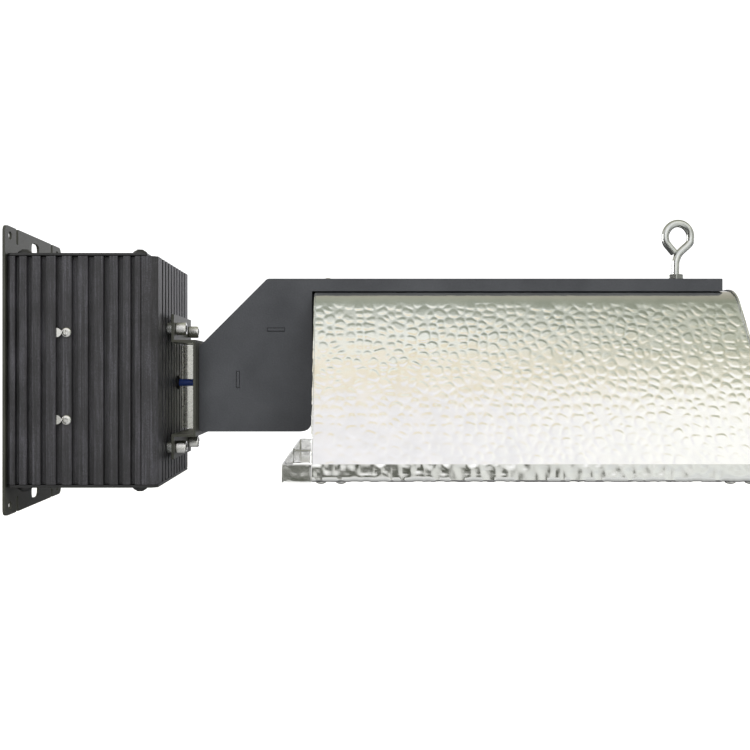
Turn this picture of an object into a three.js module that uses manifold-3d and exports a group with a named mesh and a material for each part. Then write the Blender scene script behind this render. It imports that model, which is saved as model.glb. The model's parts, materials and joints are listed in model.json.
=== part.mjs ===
// Double-ended grow lamp: a finned ballast on a mounting plate, a sheet-metal arm that
// runs on as a spine, a hammered aluminium reflector under the spine, and its lamp.
//
// Millimetres. +X runs from the ballast to the reflector, +Y to the back, +Z up.
// The origin is the centre of the mounting plate's outer face.

import * as THREE from 'three';
import { mergeVertices } from 'three/addons/utils/BufferGeometryUtils.js';
import Module from 'manifold-3d';

// ---------------------------------------------------------------- driving dimensions

const GAP = 0.3; // play between two pieces that touch
const SCREW_PLAY = 0.3; // radial play of a screw in its hole

const plate = {
  thick: 2,
  halfWidth: 68,
  halfHeight: 110,
  cornerRadius: 6,
  holeRadius: 3.2,
  holeY: 57,
  holeZ: 103,
  slotLength: 18,
  slotWidth: 11,
  slotZ: 99,
  slitY: 42,
  slitWidth: 4.5,
  slitDepth: 12,
  screwY: 45,
  screwZ: 60,
  screwRadius: 2.3,
  sinkRadius: 4.3,
  sinkDepth: 1.7,
};

const ballast = {
  x0: plate.thick + GAP,
  x1: 116.5,
  halfDepth: 67.5,
  halfHeight: 88.4,
  capThick: 2,
  topCapX1: 108.6, // the top cap leaves the ends of the side fins open
  wall: 3.2,
  grooveDepth: 4.3,
  nearCorner: 3, // chamfer beside the mounting plate
  armCornerX: 4.5, // chamfer on the corners towards the arm
  armCornerY: 3,
  cornerLine: { x: 104.1, width: 1, depth: 1.2 }, // a fine groove beside the corner
  bossLeg: 18, // solid inner corners that take the cap screws
  finMiddle: 54.3, // the grooves of the broad faces close up towards both sides
  finReach: 60,
  finStep: THREE.MathUtils.degToRad(11.6),
  finGroove: 4.8,
  sidePitch: 12,
  sideGroove: 4.5,
  seamGroove: 4.4,
  capScrewX: [13, 101],
  capScrewY: 56,
  capScrewRadius: 2,
  capScrewDepth: 14,
};

const bracket = {
  thick: 2,
  halfWidth: 40,
  earFace: 123.7, // face of the ears towards the arm
  panelFace: 140.7, // face of the middle panel against the arm
  earTop: 44,
  webTop: 24,
  webBottom: -52,
  earBottom: -69.5,
  boltY: 30,
  boltZ: [33, -60.5],
  boltRadius: 3,
  headRadius: 5,
  headHeight: 8,
  headEdge: 0.6,
  socketRadius: 2.9,
  socketDepth: 4,
  spacerRadius: 5,
};

// Insulating plate across the back of the gap between the ballast and the arm.
const shield = {
  y: 36,
  thick: 1.5,
};

const arm = {
  halfWidth: 25,
  sheet: 1.5,
  x0: 141,
  x1: 231.2,
  bottom: -48.8,
  slopeStart: 19,
  top: 73.4,
  spineBottom: 63.3,
  spineEnd: 558.9,
  cornerRadius: 9.6,
  footRadius: 3,
  kneeRadius: 2, // where the slope leaves the upright edge
  browRadius: 5, // where the slope meets the spine
  tipRadius: 1,
  coverEnd: 180,
  coverLip: 14, // height of the cover's end that folds up
  flange: 10, // width of the folded edges inside the arm
};

const reflector = {
  sheet: 1.2,
  bead: 1.5, // how far the right end panel stands proud of the walls
  x0: 234.5,
  x1: 565.5,
  crownZ: 64,
  crownHalf: 16,
  shoulderRadius: 26,
  shoulderAngle: THREE.MathUtils.degToRad(56),
  footY: 112,
  footZ: -76.3,
  bendY: 80.1, // control point of the gentle bow in the walls
  bendZ: -10.5,
  lipY: 125,
  lipTop: -65,
  endFlange: 20.4, // how far the rim reaches past the end panels
  lampSlot: 9, // half width of the slot that the lamp's ends pass
};
reflector.midX = (reflector.x0 + reflector.x1) / 2;
reflector.bottom = reflector.footZ - reflector.sheet;

const lamp = {
  z: 0,
  halfLength: 198,
  tubeHalf: 154,
  tubeRadius: 15,
  tubeWall: 1.4,
  neckRadius: 6.6,
  neckLength: 11,
  pinRadius: 1.5,
  pinLength: 17,
  pinchRadius: 4.9,
  arcHalf: 90,
  arcRadius: 5,
};

const holder = {
  // the ceramic block, measured from the reflector's middle outwards
  inner: 178,
  outer: 208,
  halfWidth: 13,
  bottom: -10,
  top: 18,
  slotHalf: 3,
  slotTop: 3.4,
  screwAt: [184, 201],
  screwRadius: 2,
};

const holderBox = {
  x0: reflector.x1 + GAP + reflector.sheet + GAP,
  x1: 617,
  bottom: -48,
  top: 20,
  earTop: 34,
  sheet: 1.5,
};

const cable = {
  radius: 3,
  y: 16,
  z: -10,
  grommetRadius: 4.2,
  grommetFlange: 6,
  sleeveRadius: 1.8,
  leadY: 12,
  spineZ: 68.4,
};

const eye = {
  x: 530.3,
  wire: 3.175,
  centreZ: 110,
  shift: 1.9, // the eye's middle lies a little to one side of its shank
  halfWidth: 10.4,
  halfHeight: 11.4,
  nutAcross: 12.8,
  nutHeight: 5.5,
  shankBottom: 51,
};

const spineScrewX = 243.5;
const spineScrewRadius = 1.8;
const boxScrew = { radius: 1.8, y: 17, z: 27 };
const rimScrewRadius = 1.6;
const rimScrewX = [240.8, 254.7, 525.8, 539.7];
const rimScrewY = 118;

// ---------------------------------------------------------------- solid modelling tools

const wasm = await Module();
wasm.setup();

function toSolid(geometry) {
  const bare = geometry.clone();
  bare.deleteAttribute('normal');
  bare.deleteAttribute('uv');
  const merged = mergeVertices(bare, 1e-4);
  return new wasm.Manifold(new wasm.Mesh({
    numProp: 3,
    vertProperties: Float32Array.from(merged.attributes.position.array),
    triVerts: Uint32Array.from(merged.index.array),
  }));
}

function toGeometry(solid) {
  const mesh = solid.getMesh();
  const geometry = new THREE.BufferGeometry();
  geometry.setAttribute('position', new THREE.BufferAttribute(Float32Array.from(mesh.vertProperties), 3));
  geometry.setIndex(new THREE.BufferAttribute(Uint32Array.from(mesh.triVerts), 1));
  geometry.computeVertexNormals();
  return geometry;
}

function join(...pieces) {
  return toGeometry(pieces.map(toSolid).reduce((sum, piece) => sum.add(piece)));
}

function cut(body, ...tools) {
  return toGeometry(tools.map(toSolid).reduce((rest, tool) => rest.subtract(tool), toSolid(body)));
}

function box(x0, x1, y0, y1, z0, z1) {
  const geometry = new THREE.BoxGeometry(Math.abs(x1 - x0), y1 - y0, z1 - z0);
  return geometry.translate((x0 + x1) / 2, (y0 + y1) / 2, (z0 + z1) / 2);
}

// A round bar along an axis; a and b are its place on the other two axes, in X, Y, Z order.
function rod(axis, radius, from, to, a, b, { sides = 16, endRadius = radius } = {}) {
  const geometry = new THREE.CylinderGeometry(endRadius, radius, to - from, sides);
  geometry.translate(0, (from + to) / 2, 0);
  if (axis === 'x') return geometry.rotateZ(-Math.PI / 2).translate(0, a, b);
  if (axis === 'y') return geometry.translate(a, 0, b);
  return geometry.rotateX(Math.PI / 2).translate(a, b, 0);
}

// A flat shape carried along an axis. Its own two axes are the other two, in X, Y, Z order.
function slab(axis, shape, from, to, curveSegments = 5) {
  const geometry = new THREE.ExtrudeGeometry(shape, { depth: to - from, bevelEnabled: false, curveSegments });
  const X = new THREE.Vector3(1, 0, 0);
  const Y = new THREE.Vector3(0, 1, 0);
  const Z = new THREE.Vector3(0, 0, 1);
  const turn = new THREE.Matrix4();
  if (axis === 'x') return geometry.applyMatrix4(turn.makeBasis(Y, Z, X)).translate(from, 0, 0);
  if (axis === 'y') return geometry.applyMatrix4(turn.makeBasis(X, Z, Y.negate())).translate(0, to, 0);
  return geometry.translate(0, 0, from);
}

// An outline through corners [a, b, radius]; a corner with no radius stays sharp.
function rounded(corners) {
  const shape = new THREE.Shape();
  corners.forEach(([a, b, radius = 0], i) => {
    const corner = new THREE.Vector2(a, b);
    const before = new THREE.Vector2(...corners.at(i - 1).slice(0, 2));
    const after = new THREE.Vector2(...corners[(i + 1) % corners.length].slice(0, 2));
    const back = before.sub(corner).normalize();
    const ahead = after.sub(corner).normalize();
    const setback = radius / Math.tan(back.angleTo(ahead) / 2);
    const start = corner.clone().addScaledVector(back, setback);
    const end = corner.clone().addScaledVector(ahead, setback);
    if (i === 0) shape.moveTo(start.x, start.y);
    else shape.lineTo(start.x, start.y);
    if (radius > 0) shape.quadraticCurveTo(corner.x, corner.y, end.x, end.y);
  });
  shape.closePath();
  return shape;
}

function rectangle(a0, a1, b0, b1, radius = 0) {
  return rounded([[a0, b0, radius], [a1, b0, radius], [a1, b1, radius], [a0, b1, radius]]);
}

// The closed outline of a folded sheet: a line and its parallel, a thickness to its left.
function ribbon(line, thick) {
  const points = line.map(([a, b]) => new THREE.Vector2(a, b));
  const normals = points.slice(1).map((point, i) => {
    const along = point.clone().sub(points[i]).normalize();
    return new THREE.Vector2(-along.y, along.x);
  });
  const parallel = points.map((point, i) => {
    const one = normals[Math.max(i - 1, 0)];
    const two = normals[Math.min(i, normals.length - 1)];
    return one.clone().add(two).multiplyScalar(thick / (1 + one.dot(two))).add(point);
  });
  return new THREE.Shape([...points, ...parallel.reverse()]);
}

// A round wire along points [x, y, z].
function wire(points, radius, { sides = 8, steps = 40 } = {}) {
  const places = points.map((point) => new THREE.Vector3(...point));
  const path = new THREE.CatmullRomCurve3(places, false, 'centripetal');
  const section = new THREE.Shape(Array.from({ length: sides }, (_, i) => {
    const turn = (2 * Math.PI * i) / sides;
    return new THREE.Vector2(radius * Math.cos(turn), radius * Math.sin(turn));
  }));
  return new THREE.ExtrudeGeometry(section, { extrudePath: path, steps });
}

// A turned piece about the X axis, from points [x, radius] that start and end on the axis
// or close on themselves.
function turned(profile, sides = 20) {
  const points = profile.map(([x, radius]) => new THREE.Vector2(radius, x));
  return new THREE.LatheGeometry(points, sides).rotateZ(-Math.PI / 2);
}

const object = new THREE.Group();

function add(name, geometry, [color, roughness, metalness]) {
  const mesh = new THREE.Mesh(geometry, new THREE.MeshStandardMaterial({ color, roughness, metalness }));
  mesh.name = name;
  object.add(mesh);
}

// Colour, roughness and metalness of each finish.
const finish = {
  anodised: [0x303033, 0.45, 0.6],
  paint: [0x4a4d51, 0.5, 0.1],
  blackSteel: [0x202022, 0.45, 0.4],
  oliveSteel: [0x6a6b5c, 0.45, 0.6],
  hammered: [0xd9d8ce, 0.2, 1],
  zinc: [0xb9bcbc, 0.3, 1],
  brightSteel: [0xd6d8d8, 0.2, 1],
  rubber: [0x181818, 0.8, 0],
  blueSleeve: [0x24386f, 0.5, 0],
  whiteSleeve: [0xd8d4c8, 0.8, 0],
  ceramic: [0xe6e2d6, 0.6, 0],
  quartz: [0xe8eef0, 0.05, 0],
  arcCeramic: [0xf2eee4, 0.4, 0],
  copper: [0xb0673c, 0.35, 1],
  ferrite: [0x38383a, 0.7, 0],
  board: [0x1f5a37, 0.5, 0],
  blackPlastic: [0x1d1d1f, 0.5, 0],
  greyPlastic: [0x8a8a86, 0.5, 0],
  blueFoil: [0x2a3f5e, 0.4, 0],
  paleBoard: [0xb4b6a8, 0.7, 0],
};

// ---------------------------------------------------------------- mounting plate

function mountingPlate() {
  const { halfWidth, halfHeight, cornerRadius } = plate;
  const outline = rectangle(-halfWidth, halfWidth, -halfHeight, halfHeight, cornerRadius);
  const tools = [];
  for (const up of [-1, 1]) {
    const slotZ = up * plate.slotZ;
    const slot = rectangle(
      -plate.slotLength / 2, plate.slotLength / 2,
      slotZ - plate.slotWidth / 2, slotZ + plate.slotWidth / 2, plate.slotWidth * 0.45);
    tools.push(slab('x', slot, -1, plate.thick + 1));
    for (const side of [-1, 1]) {
      const slitY = side * plate.slitY;
      const deep = up * (plate.halfHeight - plate.slitDepth);
      const past = up * (plate.halfHeight + 1);
      tools.push(rod('x', plate.holeRadius, -1, plate.thick + 1, side * plate.holeY, up * plate.holeZ));
      tools.push(box(-1, plate.thick + 1, slitY - plate.slitWidth / 2, slitY + plate.slitWidth / 2,
        Math.min(deep, past), Math.max(deep, past)));
      tools.push(countersink(side * plate.screwY, up * plate.screwZ));
    }
  }
  return cut(slab('x', outline, 0, plate.thick), ...tools);
}

// A countersunk hole through the plate.
function countersink(y, z) {
  const { sinkRadius, sinkDepth, screwRadius, thick } = plate;
  const head = rod('x', sinkRadius, -0.1, sinkDepth, y, z, { endRadius: screwRadius });
  return join(head, rod('x', screwRadius, sinkDepth - 0.2, thick + 1, y, z));
}

// ---------------------------------------------------------------- ballast casing

const inner = {
  x0: ballast.x0 + ballast.wall,
  x1: ballast.x1 - ballast.grooveDepth - ballast.wall,
  halfDepth: ballast.halfDepth - ballast.grooveDepth - ballast.wall,
};
const shellTop = ballast.halfHeight - ballast.capThick - GAP;

// The section of one half of the finned casing, on the side of Y that side gives.
function shellSection(side) {
  const seam = GAP / 2;
  const { x0, x1, halfDepth, grooveDepth, nearCorner, armCornerX, armCornerY, bossLeg, cornerLine } = ballast;
  const line = [[x0, seam], [x0, halfDepth - nearCorner], [x0 + nearCorner, halfDepth]];
  for (let i = -4; i <= 4; i += 1) {
    const middle = ballast.finMiddle + ballast.finReach * Math.sin(i * ballast.finStep);
    const half = (ballast.finGroove * Math.cos(i * ballast.finStep)) / 2;
    line.push([middle - half, halfDepth], [middle - half, halfDepth - grooveDepth]);
    line.push([middle + half, halfDepth - grooveDepth], [middle + half, halfDepth]);
  }
  const lineStart = cornerLine.x - cornerLine.width / 2;
  const lineEnd = cornerLine.x + cornerLine.width / 2;
  line.push([lineStart, halfDepth], [lineStart, halfDepth - cornerLine.depth]);
  line.push([lineEnd, halfDepth - cornerLine.depth], [lineEnd, halfDepth]);
  line.push([x1 - armCornerX, halfDepth], [x1, halfDepth - armCornerY]);
  for (let i = 4; i >= 1; i -= 1) {
    const middle = i * ballast.sidePitch;
    const half = ballast.sideGroove / 2;
    line.push([x1, middle + half], [x1 - grooveDepth, middle + half]);
    line.push([x1 - grooveDepth, middle - half], [x1, middle - half]);
  }
  line.push([x1, ballast.seamGroove / 2], [x1 - grooveDepth, ballast.seamGroove / 2], [x1 - grooveDepth, seam]);
  line.push([inner.x1, seam], [inner.x1, inner.halfDepth - bossLeg], [inner.x1 - bossLeg, inner.halfDepth]);
  line.push([inner.x0 + bossLeg, inner.halfDepth], [inner.x0, inner.halfDepth - bossLeg], [inner.x0, seam]);
  return new THREE.Shape(line.map(([x, y]) => new THREE.Vector2(x, side * y)));
}

const frontScrewX = 48.2;
const frontScrewZ = [28.5, -37.3];
const frontScrewRadius = 2;
const frontHead = {
  radius: 3.8,
  topRadius: 2.9,
  rim: 1,
  height: 2.4,
  crossHalf: 2,
  crossWidth: 1,
  crossDepth: 1,
};

function ballastShell(side) {
  const tools = [];
  const { capScrewX, capScrewY, capScrewRadius, capScrewDepth } = ballast;
  for (const x of capScrewX) {
    const at = [x, side * capScrewY, { sides: 8 }];
    const radius = capScrewRadius + SCREW_PLAY;
    tools.push(rod('z', radius, shellTop - capScrewDepth, shellTop + 1, ...at));
    tools.push(rod('z', radius, -shellTop - 1, -shellTop + capScrewDepth, ...at));
  }
  for (const z of bracket.boltZ) {
    const radius = bracket.boltRadius + SCREW_PLAY;
    tools.push(rod('x', radius, inner.x1 - 1, ballast.x1 + 1, side * bracket.boltY, z));
  }
  for (const up of [-1, 1]) {
    tools.push(rod('x', plate.screwRadius, ballast.x0 - 1, inner.x0 + 1, side * plate.screwY, up * plate.screwZ,
      { sides: 8 }));
  }
  if (side < 0) {
    for (const z of frontScrewZ) {
      const hole = frontScrewRadius + SCREW_PLAY;
      tools.push(rod('y', hole, -ballast.halfDepth - 1, -inner.halfDepth + 1, frontScrewX, z, { sides: 8 }));
    }
  } else {
    tools.push(rod('x', cable.grommetRadius + GAP, inner.x1 - 1, ballast.x1 + 1, cable.y, cable.z));
  }
  return cut(slab('z', shellSection(side), -shellTop, shellTop), ...tools);
}

function capOutline(x1, cornerX, cornerY) {
  const { x0, halfDepth, nearCorner } = ballast;
  const half = [[x0 + nearCorner, halfDepth], [x1 - cornerX, halfDepth], [x1, halfDepth - cornerY]];
  const near = [[x0, halfDepth - nearCorner], ...half];
  const far = near.map(([x, y]) => [x, -y]).reverse();
  return new THREE.Shape([...near, ...far].map(([x, y]) => new THREE.Vector2(x, y)));
}

function capScrewHoles(z0, z1) {
  const { capScrewX, capScrewY, capScrewRadius } = ballast;
  return capScrewX.flatMap((x) => [-1, 1].map(
    (side) => rod('z', capScrewRadius + SCREW_PLAY, z0, z1, x, side * capScrewY, { sides: 8 })));
}

const inlet = { x: 40, y: 30, halfX: 15, halfY: 11, flange: 3, depth: 24, wall: 2 };
const port = { x: 80, y: 2, halfX: 15, halfY: 7, flange: 2, depth: 16, mouthX: 5.75, mouthY: 4.2 };
const dial = { x: 84, y: 31, radius: 11, height: 10, shaft: 3, bodyRadius: 9, bodyDepth: 18 };

function topCap() {
  const { halfHeight, capThick, topCapX1 } = ballast;
  const z0 = halfHeight - capThick;
  const corner = 1.5;
  return cut(slab('z', capOutline(topCapX1, corner, corner), z0, halfHeight), ...capScrewHoles(z0 - 1, z0 + 4));
}

function bottomCap() {
  const z1 = -ballast.halfHeight + ballast.capThick;
  const z0 = -ballast.halfHeight;
  const through = [z0 - 1, z1 + 1];
  const { x1, armCornerX, armCornerY } = ballast;
  return cut(
    slab('z', capOutline(x1, armCornerX, armCornerY), z0, z1),
    ...capScrewHoles(...through),
    box(inlet.x - inlet.halfX - GAP, inlet.x + inlet.halfX + GAP,
      inlet.y - inlet.halfY - GAP, inlet.y + inlet.halfY + GAP, ...through),
    box(port.x - port.halfX - GAP, port.x + port.halfX + GAP,
      port.y - port.halfY - GAP, port.y + port.halfY + GAP, ...through),
    rod('z', dial.shaft + 0.6, ...through, dial.x, dial.y));
}

function frontScrew(z) {
  const { radius, topRadius, rim, height, crossHalf, crossWidth, crossDepth } = frontHead;
  const face = -ballast.halfDepth - 0.1;
  const dome = rod('y', topRadius, face - height, face - rim, frontScrewX, z, { endRadius: radius });
  const base = rod('y', radius, face - rim, face, frontScrewX, z);
  const shank = rod('y', frontScrewRadius, face - 0.1, heatBar.y1 - 2, frontScrewX, z, { sides: 8 });
  const cross = [[crossHalf, crossWidth / 2], [crossWidth / 2, crossHalf]].map(([halfX, halfZ]) => box(
    frontScrewX - halfX, frontScrewX + halfX,
    face - height - 1, face - height + crossDepth, z - halfZ, z + halfZ));
  return cut(join(dome, base, shank), ...cross);
}

// ---------------------------------------------------------------- inside the ballast

const heatBar = { x0: 38, x1: 58, y1: -inner.halfDepth + 10, z0: -58, z1: 48 };
const board = { x0: 13, x1: 103, y0: 44, thick: 1.6, halfHeight: 78 };
const coreHalf = 17;
const coreZ = [40, -4];
const capacitorZ = [48, 18];

function heatClampBar() {
  const holes = frontScrewZ.map((z) => rod('y', frontScrewRadius + SCREW_PLAY,
    -inner.halfDepth - 1, heatBar.y1 + 1, frontScrewX, z, { sides: 8 }));
  const bar = box(heatBar.x0, heatBar.x1, -inner.halfDepth + GAP, heatBar.y1, heatBar.z0, heatBar.z1);
  return cut(bar, ...holes);
}

const standoffAt = [[20, 70], [96, 70], [20, -70], [96, -70]];

function circuitBoard() {
  const holes = standoffAt.map(([x, z]) => rod('y', 1.6, board.y0 - 1, board.y0 + 3, x, z, { sides: 8 }));
  return cut(box(board.x0, board.x1, board.y0, board.y0 + board.thick, -board.halfHeight, board.halfHeight),
    ...holes);
}

const coreX = [22, 62];
const coreY = [9, board.y0 - GAP];
const coreLeg = 6;

// One E-shaped core with two windows beside its middle leg.
function ferriteCore(z) {
  const [x0, x1] = coreX;
  const windows = [-1, 1].map((side) => {
    const edges = [side * (coreLeg + 0.1), side * (coreHalf - coreLeg)].sort((a, b) => a - b);
    return box(x0 + coreLeg, x1 - coreLeg, coreY[0] - 1, coreY[1] + 1, z + edges[0], z + edges[1]);
  });
  return cut(box(x0, x1, ...coreY, z - coreHalf, z + coreHalf), ...windows);
}

// The winding fills the windows and stands proud of the core's front.
function copperWinding(z) {
  const [x0, x1] = coreX;
  const outerHalf = coreHalf - coreLeg - GAP;
  const innerHalf = coreLeg + 0.1 + GAP;
  return cut(
    box(x0 + coreLeg + GAP, x1 - coreLeg - GAP, coreY[0] - 5, coreY[1] - 3, z - outerHalf, z + outerHalf),
    box(x0, x1, coreY[0] - GAP, coreY[1] + 1, z - innerHalf, z + innerHalf));
}

function capacitor(z) {
  return rod('y', 11, 8, board.y0 - GAP, 86, z);
}

function powerInlet() {
  const face = -ballast.halfHeight - GAP;
  const body = box(inlet.x - inlet.halfX, inlet.x + inlet.halfX, inlet.y - inlet.halfY,
    inlet.y + inlet.halfY, face - 0.1, face + inlet.depth);
  const flange = box(inlet.x - inlet.halfX - inlet.flange, inlet.x + inlet.halfX + inlet.flange,
    inlet.y - inlet.halfY - inlet.flange, inlet.y + inlet.halfY + inlet.flange, face - 2, face);
  const cavity = rounded([
    [inlet.x - inlet.halfX + inlet.wall, inlet.y - inlet.halfY + inlet.wall],
    [inlet.x + inlet.halfX - inlet.wall, inlet.y - inlet.halfY + inlet.wall],
    [inlet.x + inlet.halfX - inlet.wall, inlet.y + 4],
    [inlet.x + 8, inlet.y + inlet.halfY - inlet.wall],
    [inlet.x - 8, inlet.y + inlet.halfY - inlet.wall],
    [inlet.x - inlet.halfX + inlet.wall, inlet.y + 4],
  ]);
  const floor = face + inlet.depth - 4;
  const socket = cut(join(body, flange), slab('z', cavity, face - 3, floor));
  const pins = [[-7, 1], [0, 5], [7, 1]].map(([dx, dy]) => box(inlet.x + dx - 1, inlet.x + dx + 1,
    inlet.y + dy - 2, inlet.y + dy + 2, floor - 15, floor + 1));
  return join(socket, ...pins);
}

function controlPort() {
  const face = -ballast.halfHeight - GAP;
  const body = box(port.x - port.halfX, port.x + port.halfX, port.y - port.halfY, port.y + port.halfY,
    face - 0.1, face + port.depth);
  const flange = box(port.x - port.halfX - port.flange, port.x + port.halfX + port.flange,
    port.y - port.halfY - port.flange, port.y + port.halfY + port.flange, face - 1.2, face);
  const mouths = [-7, 7].map((dx) => box(port.x + dx - port.mouthX, port.x + dx + port.mouthX,
    port.y - port.mouthY, port.y + port.mouthY, face - 3, face + port.depth - 3));
  return cut(join(body, flange), ...mouths);
}

function powerDial() {
  const top = -ballast.halfHeight - GAP - 0.3;
  const knob = rod('z', dial.radius - 1.2, top - dial.height, top - dial.height + 2, dial.x, dial.y,
    { sides: 32, endRadius: dial.radius });
  const skirt = rod('z', dial.radius, top - dial.height + 2, top, dial.x, dial.y, { sides: 32 });
  const shaft = rod('z', dial.shaft, top - 1, -ballast.halfHeight + ballast.capThick + 9, dial.x, dial.y);
  const pointer = box(dial.x - 0.8, dial.x + 0.8, dial.y + 3, dial.y + dial.radius + 1,
    top - dial.height - 1, top - dial.height + 1);
  return cut(join(knob, skirt, shaft), pointer);
}

function dialSwitch() {
  const z0 = -ballast.halfHeight + ballast.capThick + GAP;
  const bore = rod('z', dial.shaft + 0.12, z0 - 1, z0 + 10, dial.x, dial.y);
  return cut(rod('z', dial.bodyRadius, z0, z0 + dial.bodyDepth, dial.x, dial.y, { sides: 18 }), bore);
}

// ---------------------------------------------------------------- bracket to the ballast

const rivetAt = [[17.5, 12], [-17.5, 12], [17.5, -38], [-17.5, -38]];
const rivetRadius = 2;

function endBracket() {
  const { thick, earFace, panelFace, earTop, webTop, webBottom, earBottom, halfWidth } = bracket;
  const hat = ribbon([[earFace, earTop], [earFace, webTop], [panelFace, webTop],
    [panelFace, webBottom], [earFace, webBottom], [earFace, earBottom]], -thick);
  const tools = [rod('x', cable.grommetRadius + GAP, panelFace - 5, panelFace + 1, cable.y, cable.z)];
  for (const z of bracket.boltZ) {
    for (const side of [-1, 1]) {
      tools.push(rod('x', bracket.boltRadius + SCREW_PLAY, earFace - 5, earFace + 1, side * bracket.boltY, z));
    }
  }
  for (const [y, z] of rivetAt) {
    tools.push(rod('x', rivetRadius + SCREW_PLAY, panelFace - 5, panelFace + 1, y, z, { sides: 8 }));
  }
  return cut(slab('y', hat, -halfWidth, halfWidth), ...tools);
}

function bracketSpacer(y, z) {
  const x0 = ballast.x1 + GAP;
  const x1 = bracket.earFace - bracket.thick - GAP;
  const bore = rod('x', bracket.boltRadius + SCREW_PLAY, x0 - 1, x1 + 1, y, z);
  return cut(rod('x', bracket.spacerRadius, x0, x1, y, z), bore);
}

function bracketBolt(y, z) {
  const { earFace, boltRadius, headRadius, headHeight, headEdge, socketRadius, socketDepth } = bracket;
  const face = earFace + GAP;
  const top = face + headHeight;
  const head = rod('x', headRadius, face, top - headEdge, y, z, { sides: 18 });
  const edge = rod('x', headRadius, top - headEdge, top, y, z, { sides: 18, endRadius: headRadius - headEdge });
  const shank = rod('x', boltRadius, inner.x1 - 6, face + 1, y, z);
  const socket = rod('x', socketRadius, top - socketDepth, top + 1, y, z, { sides: 6 });
  return cut(join(head, edge, shank), socket);
}

function gapShield() {
  const { thick, panelFace, webTop, webBottom } = bracket;
  return box(ballast.x1 + GAP, panelFace - thick - GAP, shield.y, shield.y + shield.thick,
    webBottom + thick + GAP, webTop - thick - GAP);
}

// A rubber ring with a groove that holds a wall; x0 and x1 are the wall's faces.
function grommet(x0, x1) {
  const flange = cable.grommetFlange;
  const ring = join(
    rod('x', flange, x0 - GAP - 1.5, x0 - GAP, cable.y, cable.z),
    rod('x', cable.grommetRadius, x0 - GAP - 0.1, x1 + GAP + 0.1, cable.y, cable.z),
    rod('x', flange, x1 + GAP, x1 + GAP + 1.5, cable.y, cable.z));
  return cut(ring, rod('x', cable.radius + GAP, x0 - 5, x1 + 5, cable.y, cable.z));
}

// ---------------------------------------------------------------- arm and spine

const tabSlot = {
  flat: { x0: 195.2, x1: 209.6, z0: 31.1, z1: 34.2 },
  upright: { x0: 170.5, x1: 173.5, z0: -14.1, z1: -0.4 },
};
const coverScrewX = 161;
const coverScrewY = 18;
const coverScrewRadius = 1.7;

function armHousing() {
  const { x0, x1, bottom, slopeStart, top, spineBottom, spineEnd, halfWidth, sheet } = arm;
  const slopeEnd = x0 + (top - slopeStart);
  const mitre = sheet * Math.tan(Math.PI / 8);
  const outer = rounded([
    [x0, bottom, arm.footRadius], [x1, bottom, arm.cornerRadius], [x1, spineBottom], [spineEnd, spineBottom],
    [spineEnd, top, arm.tipRadius], [slopeEnd, top, arm.browRadius], [x0, slopeStart, arm.kneeRadius],
  ]);
  const hollow = new THREE.Shape([
    [x0 + sheet, bottom - 1], [x1 + 1, bottom - 1], [x1 + 1, spineBottom - 1],
    [spineEnd - sheet, spineBottom - 1], [spineEnd - sheet, top - sheet],
    [slopeEnd + mitre, top - sheet], [x0 + sheet, slopeStart - mitre],
  ].map(([x, z]) => new THREE.Vector2(x, z)));
  const inside = halfWidth - sheet;
  const shell = cut(slab('y', outer, -halfWidth, halfWidth), slab('y', hollow, -inside, inside),
    box(x0 - 1, x0 + sheet + 1, -inside + arm.flange, inside - arm.flange, bottom - 1, slopeStart - 4));
  const coverFlanges = [-1, 1].map((side) => {
    const z0 = bottom + 2 * sheet + GAP;
    const edge = side * (inside - arm.flange);
    const wall = side * (inside + 0.5);
    return box(x0 + 5, arm.coverEnd - 5, Math.min(edge, wall), Math.max(edge, wall), z0, z0 + sheet);
  });
  const { flat, upright } = tabSlot;
  const tools = [
    box(flat.x0, flat.x1, -halfWidth - 1, halfWidth + 1, flat.z0, flat.z1),
    box(upright.x0, upright.x1, -halfWidth - 1, halfWidth + 1, upright.z0, upright.z1),
    box(spineEnd - 3, spineEnd + 1, -inside, inside, spineBottom - 1, reflector.crownZ + GAP),
    rod('z', spineScrewRadius + SCREW_PLAY, top - 3, top + 1, spineScrewX, 0),
    rod('z', eye.wire + 0.15, top - 3, top + 1, eye.x, 0, { sides: 20 }),
  ];
  tools.push(rod('x', cable.grommetFlange + GAP, x0 - 1, x0 + sheet + 1, cable.y, cable.z));
  for (const [y, z] of rivetAt) {
    tools.push(rod('x', rivetRadius + SCREW_PLAY, x0 - 1, x0 + sheet + 1, y, z, { sides: 8 }));
  }
  for (const side of [-1, 1]) {
    tools.push(rod('z', coverScrewRadius + SCREW_PLAY, bottom, bottom + 8, coverScrewX, side * coverScrewY,
      { sides: 8 }));
  }
  return cut(join(shell, ...coverFlanges), ...tools);
}

function armCover() {
  const { x0, sheet, bottom, coverEnd, halfWidth } = arm;
  const width = halfWidth - sheet - GAP;
  const line = [[x0 + sheet + GAP, bottom], [coverEnd, bottom], [coverEnd, bottom + arm.coverLip]];
  const holes = [-1, 1].map((side) => rod('z', coverScrewRadius + SCREW_PLAY, bottom - 1, bottom + 4,
    coverScrewX, side * coverScrewY, { sides: 8 }));
  return cut(slab('y', ribbon(line, sheet), -width, width), ...holes);
}

const block = { x0: 150, x1: 168, y0: 9, y1: 22.8, z0: -18, z1: -2 };

function terminalBlock() {
  const screwHoles = [0.3, 0.7].map((part) => rod('y', 1.6, block.y0 - 1, block.y0 + 3,
    block.x0 + part * (block.x1 - block.x0), -10, { sides: 8 }));
  return cut(box(block.x0, block.x1, block.y0, block.y1, block.z0, block.z1), ...screwHoles);
}

const shelf = { x0: 170.9, x1: 222, thick: 2.2, top: 33.8, bottom: -38 };

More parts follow.
